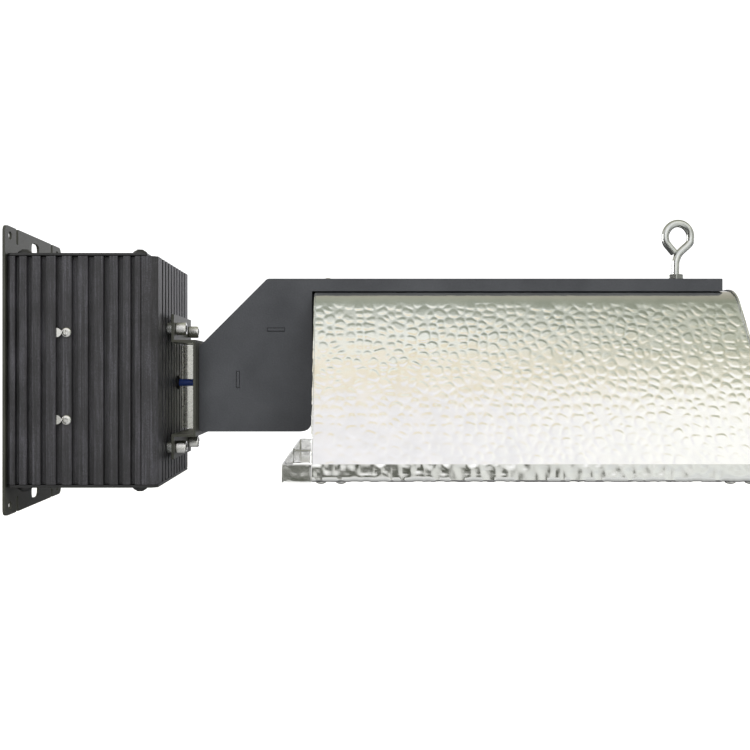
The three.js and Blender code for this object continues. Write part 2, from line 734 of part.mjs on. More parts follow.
function leftHolderBracket() {
  const inside = arm.halfWidth - arm.sheet - GAP;
  const { flat, upright } = tabSlot;
  const angle = ribbon([[shelf.x1, shelf.top], [shelf.x0, shelf.top], [shelf.x0, shelf.bottom]], shelf.thick);
  const tabs = [
    box(flat.x0 + GAP, flat.x1 - GAP, -arm.halfWidth, arm.halfWidth, shelf.top - shelf.thick, shelf.top),
    box(shelf.x0, shelf.x0 + shelf.thick, -arm.halfWidth, arm.halfWidth, upright.z0 + GAP, upright.z1 - GAP),
  ];
  const holes = holder.screwAt.map((out) => rod('z', holder.screwRadius + SCREW_PLAY,
    shelf.top - 5, shelf.top + 1, reflector.midX - out, 0, { sides: 8 }));
  const lead = rod('x', cable.sleeveRadius + 2, shelf.x0 - 1, shelf.x0 + 5, 14, cable.z);
  return cut(join(slab('y', angle, -inside, inside), ...tabs), ...holes, lead);
}

// A block between the left holder and the shelf above it.
function leftHolderSpacer() {
  const z0 = holder.top + GAP;
  const z1 = shelf.top - shelf.thick - GAP;
  const holes = holder.screwAt.map((out) => rod('z', holder.screwRadius + SCREW_PLAY, z0 - 1, z1 + 1,
    reflector.midX - out, 0, { sides: 8 }));
  const ends = holder.screwAt.map((out) => reflector.midX - out);
  return cut(box(Math.min(...ends) - 5, Math.max(...ends) + 5, -6, 6, z0, z1), ...holes);
}

// ---------------------------------------------------------------- lamp holders

// X of a point at a distance from the reflector's middle, to the left (-1) or right (1).
const out = (side, distance) => reflector.midX + side * distance;

function sideBox(side, d0, d1, ...rest) {
  return box(Math.min(out(side, d0), out(side, d1)), Math.max(out(side, d0), out(side, d1)), ...rest);
}

function lampHolder(side) {
  const body = sideBox(side, holder.inner, holder.outer, -holder.halfWidth, holder.halfWidth,
    holder.bottom, holder.top);
  const pinSlot = sideBox(side, holder.inner - 1, holder.outer - 4, -holder.slotHalf, holder.slotHalf,
    holder.bottom - 1, holder.slotTop);
  const mouth = sideBox(side, holder.inner - 1, holder.inner + 5, -7, 7, holder.bottom - 1, 7);
  const holes = holder.screwAt.map((distance) => rod('z', holder.screwRadius + SCREW_PLAY,
    holder.top - 8, holder.top + 1, out(side, distance), 0, { sides: 8 }));
  return cut(body, pinSlot, mouth, ...holes);
}

// The spring clip's leaf thickness, its lower edge and its reach from the reflector's middle.
const clip = { leaf: 0.7, bottom: -8, inner: 186, outer: 196 };

// A spring clip, open downwards, that grips the lamp's pin.
function contact(side) {
  const { leaf, bottom, inner: nearEnd, outer: farEnd } = clip;
  const half = lamp.pinRadius + GAP + leaf;
  const top = holder.slotTop - GAP;
  const arch = ribbon([[-half, bottom], [-half, top], [half, top], [half, bottom]], -leaf);
  const from = out(side, nearEnd);
  const to = out(side, farEnd);
  return slab('x', arch, Math.min(from, to), Math.max(from, to));
}

function rightHolderBox() {
  const { x0, x1, bottom, top, earTop, sheet } = holderBox;
  const shell = cut(
    box(x0, x1, -arm.halfWidth, arm.halfWidth, bottom, top),
    box(x0 - 1, x1 - sheet, -arm.halfWidth + sheet, arm.halfWidth - sheet, bottom - 1, top - sheet));
  const ear = box(x0, x0 + sheet, -arm.halfWidth, arm.halfWidth, top - sheet, earTop);
  const holes = [-1, 1].map((side) => rod('x', boxScrew.radius + SCREW_PLAY, x0 - 1, x0 + 4,
    side * boxScrew.y, boxScrew.z, { sides: 8 }));
  const screws = holder.screwAt.map((distance) => rod('z', holder.screwRadius + SCREW_PLAY,
    top - 3, top + 1, out(1, distance), 0, { sides: 8 }));
  return cut(join(shell, ear), ...holes, ...screws);
}

// ---------------------------------------------------------------- wiring

function lampCable() {
  const x0 = inner.x1 - 12;
  const x1 = block.x0 - GAP;
  return rod('x', cable.radius, x0, x1, cable.y, cable.z);
}

function leftLead() {
  const x1 = out(-1, holder.outer) - GAP;
  return wire([
    [block.x1 + GAP, 14, cable.z], [175, 14, cable.z], [182, 12, -4], [186, 9, 2.5], [x1 - 2, 8, 4], [x1, 8, 4],
  ], cable.sleeveRadius, { steps: 14 });
}

// From the terminal block up into the spine, along it, down through the crown of the
// reflector and out through its right end to the far holder.
function spineLead() {
  const y = cable.leadY;
  const x1 = out(1, holder.inner) - GAP;
  return wire([
    [160, 16, block.z1 + GAP], [160, 16, 12], [163, 15, 26], [176, 14, 48], [192, 13, 62],
    [206, y, cable.spineZ], [300, y, cable.spineZ], [420, y, cable.spineZ], [536, y, cable.spineZ],
    [545, y, cable.spineZ - 2],
    [550, y, 60], [553, y, 48], [555, y, 34], [557, y, 22], [562, y, 14], [569, y - 0.5, 11],
    [x1 - 3, 10, 10], [x1, 10, 10],
  ], cable.sleeveRadius, { steps: 56 });
}

const crownHoleX = 549.4;
const endHoleZ = 12.3;

// ---------------------------------------------------------------- reflector

// The outer line of one wall, from the crown to the top of the rim's lip.
function wallLine(side) {
  const { crownZ, crownHalf, shoulderRadius, shoulderAngle, bendY, bendZ } = reflector;
  const { footY, footZ, lipY, lipTop, sheet } = reflector;
  const line = [[GAP / 2, crownZ]];
  const shoulderSteps = 5;
  for (let i = 0; i <= shoulderSteps; i += 1) {
    const turn = (shoulderAngle * i) / shoulderSteps;
    line.push([crownHalf + shoulderRadius * Math.sin(turn), crownZ - shoulderRadius * (1 - Math.cos(turn))]);
  }
  const [startY, startZ] = line.at(-1);
  const bow = new THREE.QuadraticBezierCurve(
    new THREE.Vector2(startY, startZ), new THREE.Vector2(bendY, bendZ), new THREE.Vector2(footY, footZ));
  for (const point of bow.getPoints(7).slice(1)) line.push([point.x, point.y]);
  line.push([lipY - sheet, footZ], [lipY - sheet, lipTop]);
  return line.map(([y, z]) => [side * y, z]);
}

function crownHoles(side) {
  const holes = [
    rod('z', spineScrewRadius + SCREW_PLAY, reflector.crownZ - 3, reflector.crownZ + 1, spineScrewX, 0),
    rod('z', eye.wire + SCREW_PLAY, reflector.crownZ - 3, reflector.crownZ + 1, eye.x, 0, { sides: 20 }),
  ];
  if (side > 0) {
    const radius = cable.sleeveRadius + 3.4;
    holes.push(rod('z', radius, reflector.crownZ - 5, reflector.crownZ + 2, crownHoleX, cable.leadY));
  }
  return holes;
}

function rimScrewHoles(side) {
  return rimScrewX.map((x) => rod('z', rimScrewRadius + SCREW_PLAY, reflector.bottom - 1, reflector.footZ + 3,
    x, side * rimScrewY, { sides: 8 }));
}

function reflectorWall(side) {
  const section = ribbon(wallLine(side), -side * reflector.sheet);
  return cut(slab('x', section, reflector.x0, reflector.x1), ...crownHoles(side), ...rimScrewHoles(side));
}

// An end of the reflector: the panel, its part of the rim, and two straps onto the walls' flanges.
function reflectorEnd(side) {
  const { sheet, footZ, bottom, lipY, lipTop, endFlange, lampSlot, x0, midX } = reflector;
  const face = midX - x0 + GAP;
  const tip = face + endFlange;
  const wall = wallLine(1).slice(0, -2);
  const panel = new THREE.Shape([...wall, ...wall.map(([y, z]) => [-y, z]).reverse()]
    .map(([y, z]) => new THREE.Vector2(y, z)));
  const panelX = [out(side, face), out(side, face + sheet)].sort((a, b) => a - b);
  const beads = side < 0 ? [] : [-1, 1].map((edge) => {
    const outline = [[-edge, reflector.crownZ], ...wallLine(edge).slice(1, -2)];
    return slab('x', ribbon(outline, edge * reflector.bead), ...panelX);
  });
  const pieces = [
    slab('x', panel, ...panelX),
    ...beads,
    sideBox(side, face, tip, -lipY, lipY, bottom, footZ),
    sideBox(side, tip - sheet, tip, -lipY, lipY, bottom, lipTop),
  ];
  const strapEnd = side < 0 ? midX - 262 : 518 - midX;
  for (const edge of [-1, 1]) {
    const lip = [edge * (lipY - sheet), edge * lipY].sort((a, b) => a - b);
    const strap = [edge * (lipY - 2.5), edge * (reflector.footY + 1.4)].sort((a, b) => a - b);
    pieces.push(sideBox(side, face, tip, ...lip, bottom, lipTop));
    pieces.push(sideBox(side, strapEnd, face + 1, ...strap, footZ + GAP, footZ + GAP + sheet));
    pieces.push(sideBox(side, face, face + sheet, ...strap, footZ - 0.5, footZ + GAP + sheet));
  }
  const tools = [
    sideBox(side, face - 1, tip + 1, -lampSlot, lampSlot, bottom - 1, lamp.z),
    rod('x', lampSlot, panelX[0] - 1, panelX[1] + 1, 0, lamp.z, { sides: 18 }),
    ...rimScrewHoles(-1),
    ...rimScrewHoles(1),
  ];
  if (side > 0) {
    tools.push(rod('x', cable.sleeveRadius + 2.4, panelX[0] - 1, panelX[1] + 1, cable.leadY - 0.3, endHoleZ));
    for (const edge of [-1, 1]) {
      tools.push(rod('x', boxScrew.radius + SCREW_PLAY, panelX[0] - 1, panelX[1] + 1,
        edge * boxScrew.y, boxScrew.z, { sides: 8 }));
    }
  }
  return cut(join(...pieces), ...tools);
}

// ---------------------------------------------------------------- spine fastenings

// A sleeve that keeps the spine off the crown of the reflector.
function crownSpacer(x, outerRadius, bore) {
  const z0 = reflector.crownZ + GAP;
  const z1 = arm.top - arm.sheet - GAP;
  return cut(rod('z', outerRadius, z0, z1, x, 0), rod('z', bore, z0 - 1, z1 + 1, x, 0));
}

function spineScrew() {
  const face = arm.top + 0.1;
  const head = { radius: 3.5, topRadius: 1.8, rim: 1.2, height: 2.9 };
  return join(
    rod('z', head.radius, face, face + head.rim, spineScrewX, 0),
    rod('z', head.radius, face + head.rim, face + head.height, spineScrewX, 0, { endRadius: head.topRadius }),
    rod('z', spineScrewRadius, reflector.crownZ - 7, face + 0.1, spineScrewX, 0, { sides: 8 }));
}

// A hexagon nut on the eye bolt, with its lower face at z.
function eyeNut(z) {
  return cut(
    rod('z', eye.nutAcross / 2, z, z + eye.nutHeight, eye.x, 0, { sides: 6 }),
    rod('z', eye.wire + 0.12, z - 1, z + eye.nutHeight + 1, eye.x, 0, { sides: 20 }));
}

const crownUnder = reflector.crownZ - reflector.sheet - GAP;
const washerThick = 1.4;

function eyeWasher() {
  return cut(
    rod('z', 8, crownUnder - washerThick, crownUnder, eye.x, 0, { sides: 20 }),
    rod('z', eye.wire + SCREW_PLAY, crownUnder - 3, crownUnder + 1, eye.x, 0, { sides: 20 }));
}

// The wire bends off its shank, round the eye and straight back, and ends against the shank.
function eyeBolt() {
  const { x, shankBottom, shift, halfWidth, halfHeight, centreZ } = eye;
  const points = [[x, 0, shankBottom], [x, 0, 70], [x, 0, 86], [x + 0.7, 0, 91.5], [x + 3.2, 0, 97]];
  const first = -28;
  const last = 206;
  const turns = 10;
  for (let i = 0; i <= turns; i += 1) {
    const turn = THREE.MathUtils.degToRad(first + ((last - first) * i) / turns);
    points.push([x + shift + halfWidth * Math.cos(turn), 0, centreZ + halfHeight * Math.sin(turn)]);
  }
  points.push([x - 4.6, 0, 101.3], [x - 2.1, 0, 98.3]);
  return wire(points, eye.wire, { sides: 12, steps: 40 });
}

// ---------------------------------------------------------------- lamp

// Outer quartz tube, open at both necks where the ends are fused in.
function lampTube() {
  const { tubeHalf, tubeRadius, tubeWall, neckRadius, neckLength } = lamp;
  const half = (radius, neck) => [[tubeHalf, neck], [tubeHalf - neckLength * 0.5, (neck + radius) / 2 + 2],
    [tubeHalf - neckLength, radius]];
  const outside = half(tubeRadius, neckRadius);
  const inside = half(tubeRadius - tubeWall, neckRadius - tubeWall);
  const mirror = (line) => line.map(([x, radius]) => [-x, radius]).reverse();
  const profile = [...mirror(outside).reverse(), ...outside.toReversed(), ...inside, ...mirror(inside)];
  profile.push(profile[0]);
  return turned(profile).translate(reflector.midX, 0, lamp.z);
}

function arcTube() {
  const { arcHalf, arcRadius, tubeHalf } = lamp;
  const tip = tubeHalf - 6;
  const half = [[tip, 0], [tip, 0.9], [arcHalf + 8, 0.9], [arcHalf + 7, 2.2], [arcHalf, 3],
    [arcHalf - 6, arcRadius]];
  return turned([...half.map(([x, radius]) => [-x, radius]), ...half.toReversed()], 10)
    .translate(reflector.midX, 0, lamp.z);
}

// The pinched end of the lamp and its pin.
function lampEnd(side) {
  const { halfLength, pinLength, pinRadius, pinchRadius, tubeHalf } = lamp;
  const stem = tubeHalf - 4;
  const end = turned([[stem, 0], [stem, pinchRadius], [halfLength - pinLength - 2, pinchRadius],
    [halfLength - pinLength, pinRadius], [halfLength, pinRadius], [halfLength, 0]], 12);
  return end.rotateZ(side < 0 ? Math.PI : 0).translate(reflector.midX, 0, lamp.z);
}

// ---------------------------------------------------------------- assembly

const sides = [['front', -1], ['back', 1]];
const ends = [['left', -1], ['right', 1]];
const levels = ['upper', 'lower'];

add('mounting_plate', mountingPlate(), finish.oliveSteel);
add('ballast_front_shell', ballastShell(-1), finish.anodised);
add('ballast_rear_shell', ballastShell(1), finish.anodised);
add('ballast_top_cap', topCap(), finish.blackSteel);
add('ballast_bottom_cap', bottomCap(), finish.blackSteel);
add('heat_clamp_bar', heatClampBar(), finish.zinc);
add('circuit_board', circuitBoard(), finish.board);
levels.forEach((level, i) => {
  add(`front_screw_${level}`, frontScrew(frontScrewZ[i]), finish.brightSteel);
  add(`ferrite_core_${level}`, ferriteCore(coreZ[i]), finish.ferrite);
  add(`copper_winding_${level}`, copperWinding(coreZ[i]), finish.copper);
  add(`capacitor_${level}`, capacitor(capacitorZ[i]), finish.blueFoil);
  for (const [name, side] of sides) {
    const at = [side * bracket.boltY, bracket.boltZ[i]];
    add(`bracket_spacer_${level}_${name}`, bracketSpacer(...at), finish.zinc);
    add(`bracket_bolt_${level}_${name}`, bracketBolt(...at), finish.brightSteel);
  }
});
add('power_inlet', powerInlet(), finish.blackPlastic);
add('control_port', controlPort(), finish.greyPlastic);
add('power_dial', powerDial(), finish.blackPlastic);
add('dial_switch', dialSwitch(), finish.greyPlastic);

add('end_bracket', endBracket(), finish.oliveSteel);
add('gap_shield', gapShield(), finish.paleBoard);
add('ballast_grommet', grommet(inner.x1, ballast.x1), finish.rubber);
add('arm_grommet', grommet(bracket.panelFace - bracket.thick, bracket.panelFace), finish.rubber);
add('arm_housing', armHousing(), finish.paint);
add('arm_cover', armCover(), finish.paint);
add('terminal_block', terminalBlock(), finish.ceramic);
add('left_holder_bracket', leftHolderBracket(), finish.paint);
add('left_holder_spacer', leftHolderSpacer(), finish.zinc);
add('right_holder_box', rightHolderBox(), finish.paint);
add('lamp_cable', lampCable(), finish.blueSleeve);
add('left_lead', leftLead(), finish.whiteSleeve);
add('spine_lead', spineLead(), finish.whiteSleeve);

for (const [name, side] of sides) add(`reflector_${name}`, reflectorWall(side), finish.hammered);
for (const [name, side] of ends) {
  add(`reflector_${name}_end`, reflectorEnd(side), finish.hammered);
  add(`${name}_lamp_holder`, lampHolder(side), finish.ceramic);
  add(`${name}_contact`, contact(side), finish.zinc);
  add(`lamp_${name}_end`, lampEnd(side), finish.ceramic);
}
add('lamp_tube', lampTube(), finish.quartz);
add('arc_tube', arcTube(), finish.arcCeramic);

add('spine_screw', spineScrew(), finish.brightSteel);
add('spine_spacer', crownSpacer(spineScrewX, 4.5, spineScrewRadius + SCREW_PLAY), finish.zinc);
add('eye_bolt', eyeBolt(), finish.zinc);
add('eye_spacer', crownSpacer(eye.x, 7, eye.wire + SCREW_PLAY), finish.zinc);
add('eye_washer', eyeWasher(), finish.zinc);
add('eye_top_nut', eyeNut(arm.top + GAP), finish.zinc);
add('eye_lock_nut', eyeNut(crownUnder - washerThick - GAP - eye.nutHeight), finish.zinc);

export default object;
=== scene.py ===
"""Looks of the grow lamp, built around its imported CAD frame.

Lengths are metres in the row frame: +X from the ballast to the reflector, +Y to the back,
+Z up. The small dimensions are written as a number of millimetres times MM.
"""

import json
import math

import bmesh
import bpy
import numpy as np
from mathutils import Matrix, Vector


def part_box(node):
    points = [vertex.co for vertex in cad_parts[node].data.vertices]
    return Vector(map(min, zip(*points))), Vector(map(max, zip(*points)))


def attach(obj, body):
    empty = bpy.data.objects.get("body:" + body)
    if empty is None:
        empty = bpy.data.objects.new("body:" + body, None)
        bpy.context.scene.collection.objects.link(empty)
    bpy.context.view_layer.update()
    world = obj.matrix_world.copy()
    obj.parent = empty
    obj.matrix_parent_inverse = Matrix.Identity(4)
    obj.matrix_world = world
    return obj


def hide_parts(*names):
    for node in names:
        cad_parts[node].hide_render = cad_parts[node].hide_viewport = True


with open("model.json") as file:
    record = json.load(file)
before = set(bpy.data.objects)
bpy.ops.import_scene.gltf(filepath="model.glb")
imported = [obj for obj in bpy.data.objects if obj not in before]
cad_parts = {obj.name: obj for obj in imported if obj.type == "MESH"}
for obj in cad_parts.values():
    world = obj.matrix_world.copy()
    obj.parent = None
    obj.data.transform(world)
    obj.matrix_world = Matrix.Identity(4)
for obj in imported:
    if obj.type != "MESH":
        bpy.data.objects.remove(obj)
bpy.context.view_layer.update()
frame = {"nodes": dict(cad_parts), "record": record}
MM = 0.001

# ---------------- driving dimensions

SHEET = 1.2 * MM  # reflector sheet
CROWN_HALF = 16 * MM
SHOULDER_RADIUS = 26 * MM
SHOULDER_ANGLE = math.radians(56)
WALL_FOOT = (112 * MM, -76.3 * MM)
WALL_BOW = (80.1 * MM, -10.5 * MM)  # control point of the gentle bow in the walls
FOOT_RADIUS = 1.6 * MM
LIP_RADIUS = 1.5 * MM
LIP_TOP = -65 * MM

WALL_STEP = 0.86 * MM  # grid of the hammered walls
PEBBLE_PITCH = 7.8 * MM
PEBBLE_DEPTH = 0.1 * MM
PEBBLE_FLANK = 1.3 * MM
PEBBLE_ROUNDING = 0.75 * MM
SMOOTHED = 5 * MM  # the crown is smoother up to here, before the shoulder's end
SMOOTHED_FADE = 11 * MM
SMOOTHED_DEPTH = 0.25  # part of the pebbles' depth that is left there
LIP_DEPTH = 2.6  # times the pebbles' depth on the lip
EDGE_FADE = 1.5 * MM  # from a wall's cut ends to full depth
END_STEP = 2 * MM  # grid of the hammered ends
END_SINK = 0.15 * MM  # keeps the ends' pattern within their sheet
FOLD_SINK = 0.1 * MM
END_DEPTH = 0.7  # times the walls' depth

RIM_SCREW_X = [240.8 * MM, 254.7 * MM, 525.8 * MM, 539.7 * MM]
RIM_SCREW_Y = 118 * MM
CAP_SCREW_X = [13 * MM, 101 * MM]
CAP_SCREW_Y = 56 * MM
PLATE_SCREW = (45 * MM, 60 * MM)
FRONT_SCREW_SEAT = -67.6 * MM
CLIP_SEAT = -66.2 * MM
CLIP_BESIDE = 8.3 * MM  # from the front screw to its clip
BRACKET_RIVET = (138.7 * MM, 17.5 * MM)
BRACKET_RIVET_Z = {"upper": 12 * MM, "lower": -38 * MM}
COVER_SCREW = (161 * MM, 18 * MM)
BOX_SCREW = (17 * MM, 27 * MM)
BOX_SHEET = 1.5 * MM
LAMP_X = 400 * MM
LAMP_HALF = 154 * MM  # half the length of the quartz tube
PIN_END = 198 * MM  # from the lamp's middle to the end of a pin
HOLDER_SCREWS = [184 * MM, 201 * MM]  # from the lamp's middle
HOLDER_SEAT = 20 * MM  # where the right holder's screws sit
EYE_WIRE = 3.175 * MM  # radius

SIDES = (("front", -1), ("back", 1))
ENDS = (("left", -1), ("right", 1))
LEVELS = (("upper", 1), ("lower", -1))


# ---------------- node helpers


class Tree:
    """Adds nodes to a node tree. An input given as a socket is linked, anything else is set."""

    def __init__(self, tree):
        self.tree = tree

    def add(self, kind, inputs=None, **settings):
        node = self.tree.nodes.new(kind)
        for key, value in settings.items():
            setattr(node, key, value)
        for key, value in (inputs or {}).items():
            self.put(node.inputs[key], value)
        return node

    def put(self, socket, value):
        if isinstance(value, bpy.types.NodeSocket):
            self.tree.links.new(value, socket)
        else:
            socket.default_value = value

    def math(self, operation, a, b=0.0):
        return self.add("ShaderNodeMath", {0: a, 1: b}, operation=operation).outputs[0]

    def scaled(self, vector, scale):
        return self.add("ShaderNodeVectorMath", {0: vector, 1: scale}, operation="MULTIPLY").outputs[0]

    def noise(self, vector, scale, detail=3.0, roughness=0.55, distortion=0.0):
        inputs = {"Vector": vector, "Scale": scale, "Detail": detail, "Roughness": roughness,
                  "Distortion": distortion}
        return self.add("ShaderNodeTexNoise", inputs).outputs["Fac"]

    def cells(self, vector, scale, randomness=1.0):
        inputs = {"Vector": vector, "Scale": scale, "Randomness": randomness}
        return self.add("ShaderNodeTexVoronoi", inputs).outputs["Distance"]

    def range(self, value, low, high, to_low=0.0, to_high=1.0):
        inputs = {"Value": value, "From Min": low, "From Max": high, "To Min": to_low, "To Max": to_high}
        return self.add("ShaderNodeMapRange", inputs).outputs[0]

    def mix(self, factor, a, b):
        node = self.add("ShaderNodeMix", data_type="RGBA")
        self.put(node.inputs["Factor"], factor)
        colours = [s for s in node.inputs if s.type == "RGBA"]
        for socket, value in zip(colours, (a, b)):
            self.put(socket, value)
        return next(s for s in node.outputs if s.type == "RGBA")

    def ramp(self, value, stops):
        node = self.add("ShaderNodeValToRGB", {"Fac": value})
        elements = node.color_ramp.elements
        while len(elements) < len(stops):
            elements.new(0.5)
        for element, (place, colour) in zip(elements, stops):
            element.position = place
            element.color = colour
        return node.outputs["Color"]

    def bump(self, height, distance, strength=1.0, normal=None):
        node = self.add("ShaderNodeBump", {"Height": height, "Distance": distance, "Strength": strength})
        if normal is not None:
            self.put(node.inputs["Normal"], normal)
        return node.outputs["Normal"]


def rgb(red, green, blue):
    return (red, green, blue, 1.0)


def grey(level):
    return rgb(level, level, level)


def shade(colour, factor):
    """A colour made darker or lighter, at most white."""
    return rgb(*(min(1.0, c * factor) for c in colour[:3]))


class Material(Tree):
    """A material with one Principled BSDF and object coordinates in metres."""

    def __init__(self, name, **sockets):
        self.data = bpy.data.materials.new(name)
        self.data.use_nodes = True
        super().__init__(self.data.node_tree)
        self.shader = self.data.node_tree.nodes["Principled BSDF"]
        self.place = self.add("ShaderNodeTexCoord").outputs["Object"]
        for key, value in sockets.items():
            self.set(key.replace("_", " "), value)

    def set(self, key, value):
        self.put(self.shader.inputs[key], value)

    def rough(self, noise, low, high):
        """Roughness that follows a noise from low to high."""
        self.set("Roughness", self.range(noise, 0.3, 0.7, low, high))


# ---------------- materials


def powder_coat(name, dark, light, roughness, grain, shine=0.5):
    """Sprayed and baked paint: a fine orange peel with slow drifts in tone."""
    m = Material(name)
    drift = m.noise(m.place, 26, detail=4)
    speck = m.noise(m.place, grain, detail=2, roughness=0.7)
    tone = m.math("ADD", m.math("MULTIPLY", drift, 0.55), m.math("MULTIPLY", speck, 0.45))
    m.set("Base Color", m.ramp(tone, [(0.34, dark), (0.66, light)]))
    m.rough(speck, roughness - 0.05, roughness + 0.09)
    m.set("Specular IOR Level", shine)
    peel = m.noise(m.place, grain * 0.55, detail=2)
    m.set("Normal", m.bump(peel, 0.00012, 0.75))
    return m.data


def anodised():
    """Black extrusion: a gritty finish with faint lines along the length it was drawn in."""
    m = Material("anodised_aluminium", Metallic=0.0)
    grit = m.noise(m.place, 1500, detail=3, roughness=0.75)
    drawn = m.noise(m.scaled(m.place, (1.0, 1.0, 0.02)), 900, detail=3, roughness=0.7)
    drift = m.noise(m.place, 30, detail=4)
    tone = m.math("ADD", m.math("MULTIPLY", grit, 0.45), m.math("MULTIPLY", drawn, 0.35))
    tone = m.math("ADD", tone, m.math("MULTIPLY", drift, 0.2))
    m.set("Base Color", m.ramp(tone, [(0.38, rgb(0.005, 0.005, 0.0055)), (0.5, rgb(0.02, 0.019, 0.021)),
                                      (0.62, rgb(0.08, 0.078, 0.092))]))
    m.rough(grit, 0.36, 0.56)
    m.set("Specular IOR Level", 0.7)
    m.set("Normal", m.bump(grit, 0.0002, 0.9, m.bump(drawn, 0.00008, 0.6)))
    return m.data


def hammered():
    """Bright rolled aluminium; the pebbles themselves are in the mesh."""
    m = Material("hammered_aluminium", Metallic=1.0)
    rolled = m.noise(m.scaled(m.place, (0.05, 1.0, 1.0)), 1400, detail=3, roughness=0.6)
    haze = m.noise(m.place, 60, detail=3)
    m.set("Base Color", m.ramp(haze, [(0.35, rgb(0.87, 0.875, 0.86)), (0.65, rgb(0.93, 0.93, 0.915))]))
    m.rough(haze, 0.12, 0.2)
    m.set("Normal", m.bump(rolled, 0.00003, 0.5))
    return m.data


def plated(name, base, tint, roughness):
    """Zinc plate with a thin, patchy passivation."""
    m = Material(name, Metallic=1.0)
    patch = m.noise(m.place, 240, detail=4, distortion=0.6)
    fine = m.noise(m.place, 2600, detail=2)
    m.set("Base Color", m.ramp(patch, [(0.3, base), (0.7, tint)]))
    m.rough(fine, roughness - 0.05, roughness + 0.08)
    m.set("Normal", m.bump(fine, 0.00003, 0.5))
    return m.data


def mill_aluminium():
    """Extruded or sawn aluminium with fine lines along Z."""
    m = Material("bare_aluminium", Metallic=1.0)
    lines = m.noise(m.scaled(m.place, (1.0, 1.0, 0.03)), 1600, detail=3)
    m.set("Base Color", m.ramp(lines, [(0.3, grey(0.6)), (0.7, grey(0.74))]))
    m.rough(lines, 0.28, 0.42)
    m.set("Normal", m.bump(lines, 0.00004, 0.6))
    return m.data


def moulded(name, base, roughness, speckle=1.25):
    """Moulded plastic or rubber with a fine spark-eroded texture and slow drifts in tone."""
    m = Material(name)
    texture = m.noise(m.place, 1900, detail=2, roughness=0.7)
    drift = m.noise(m.place, 70, detail=3)
    m.set("Base Color", m.mix(drift, base, shade(base, speckle)))
    m.rough(texture, roughness - 0.06, roughness + 0.08)
    m.set("Normal", m.bump(texture, 0.00006, 0.7))
    return m.data


def mica_board():
    """Thin pressed mica: pale flakes, and some of the light behind it comes through."""
    m = Material("pale_board", Transmission_Weight=0.8, IOR=1.12)
    flakes = m.cells(m.place, 420)
    m.set("Base Color", m.ramp(flakes, [(0.1, rgb(0.62, 0.63, 0.54)), (0.6, rgb(0.76, 0.76, 0.68))]))
    m.set("Roughness", m.range(flakes, 0.1, 0.6, 0.2, 0.3))
    m.set("Normal", m.bump(flakes, 0.00006, 0.5))
    return m.data


def silicone(name, base):
    """Soft cable sleeve, half matt."""
    m = Material(name)
    drift = m.noise(m.place, 120, detail=3)
    m.set("Base Color", m.mix(drift, base, shade(base, 1.5)))
    m.rough(drift, 0.32, 0.46)
    m.set("Normal", m.bump(m.noise(m.place, 900, detail=2), 0.00005, 0.5))
    return m.data


def braid():
    """Glass-fibre sleeve: two families of strands that cross."""
    m = Material("glass_fibre_sleeve", Roughness=0.75)
    wave = {"Scale": 420.0, "Distortion": 1.2, "Detail": 1.0, "Detail Scale": 2.0}
    one = m.add("ShaderNodeTexWave", {"Vector": m.place, **wave}, bands_direction="DIAGONAL")
    turned = m.scaled(m.place, (-1.0, 1.0, 1.0))
    two = m.add("ShaderNodeTexWave", {"Vector": turned, **wave}, bands_direction="DIAGONAL")
    weave = m.math("MAXIMUM", one.outputs["Fac"], two.outputs["Fac"])
    # the colour is darker in the gaps where both families of strands are low, following the bump: painted
    # shade; the light end is the fibre's own colour
    m.set("Base Color", m.ramp(weave, [(0.2, rgb(0.5, 0.47, 0.4)), (0.8, rgb(0.8, 0.78, 0.71))]))
    m.set("Normal", m.bump(weave, 0.00025, 0.8))
    return m.data


def ceramic(name, base, fleck):
    """Unglazed ceramic with fine dark flecks."""
    m = Material(name)
    flecks = m.range(m.cells(m.place, 900), 0.05, 0.16, 0.0, 1.0)
    cloud = m.noise(m.place, 90, detail=4)
    m.set("Base Color", m.mix(flecks, fleck, m.mix(cloud, base, shade(base, 0.9))))
    m.rough(cloud, 0.5, 0.66)
    m.set("Normal", m.bump(m.noise(m.place, 1400, detail=3), 0.00006, 0.6))
    return m.data


def quartz():
    """Clear fused quartz with faint drawing lines along the lamp."""
    m = Material("quartz", Transmission_Weight=1.0, IOR=1.46)
    strain = m.noise(m.scaled(m.place, (0.1, 1.0, 1.0)), 160, detail=2)
    m.set("Base Color", m.mix(strain, rgb(0.97, 0.985, 0.99), rgb(0.99, 0.995, 1.0)))
    m.rough(strain, 0.01, 0.035)
    return m.data


def alumina():
    """Translucent ceramic, a little darkened towards the electrodes."""
    m = Material("arc_ceramic")
    axis = m.add("ShaderNodeSeparateXYZ", {"Vector": m.place}).outputs["X"]
    far = m.math("ABSOLUTE", m.math("SUBTRACT", axis, LAMP_X))
    cloud = m.noise(m.place, 140, detail=3)
    darkening = m.range(m.math("ADD", far, m.math("MULTIPLY", cloud, 0.02)), 0.075, 0.105)
    m.set("Base Color", m.mix(darkening, rgb(0.93, 0.91, 0.86), rgb(0.45, 0.41, 0.36)))
    m.rough(cloud, 0.3, 0.45)
    m.set("Subsurface Weight", 0.3)
    m.set("Subsurface Radius", (0.002, 0.002, 0.002))
    return m.data


def copper_turns():
    """Enamelled wire, wound turn beside turn."""
    m = Material("copper", Metallic=1.0)
    turns = m.add("ShaderNodeTexWave", {"Vector": m.place, "Scale": 180.0, "Distortion": 0.3},
                  bands_direction="Z").outputs["Fac"]
    # the colour is darker in the valleys between the turns, following the bump's bands: painted shade;
    # the light end is the wire's own copper
    m.set("Base Color", m.ramp(turns, [(0.1, rgb(0.28, 0.1, 0.04)), (0.7, rgb(0.72, 0.36, 0.18))]))
    m.set("Roughness", m.range(turns, 0.0, 1.0, 0.45, 0.25))
    m.set("Normal", m.bump(turns, 0.0003, 0.9))
    return m.data


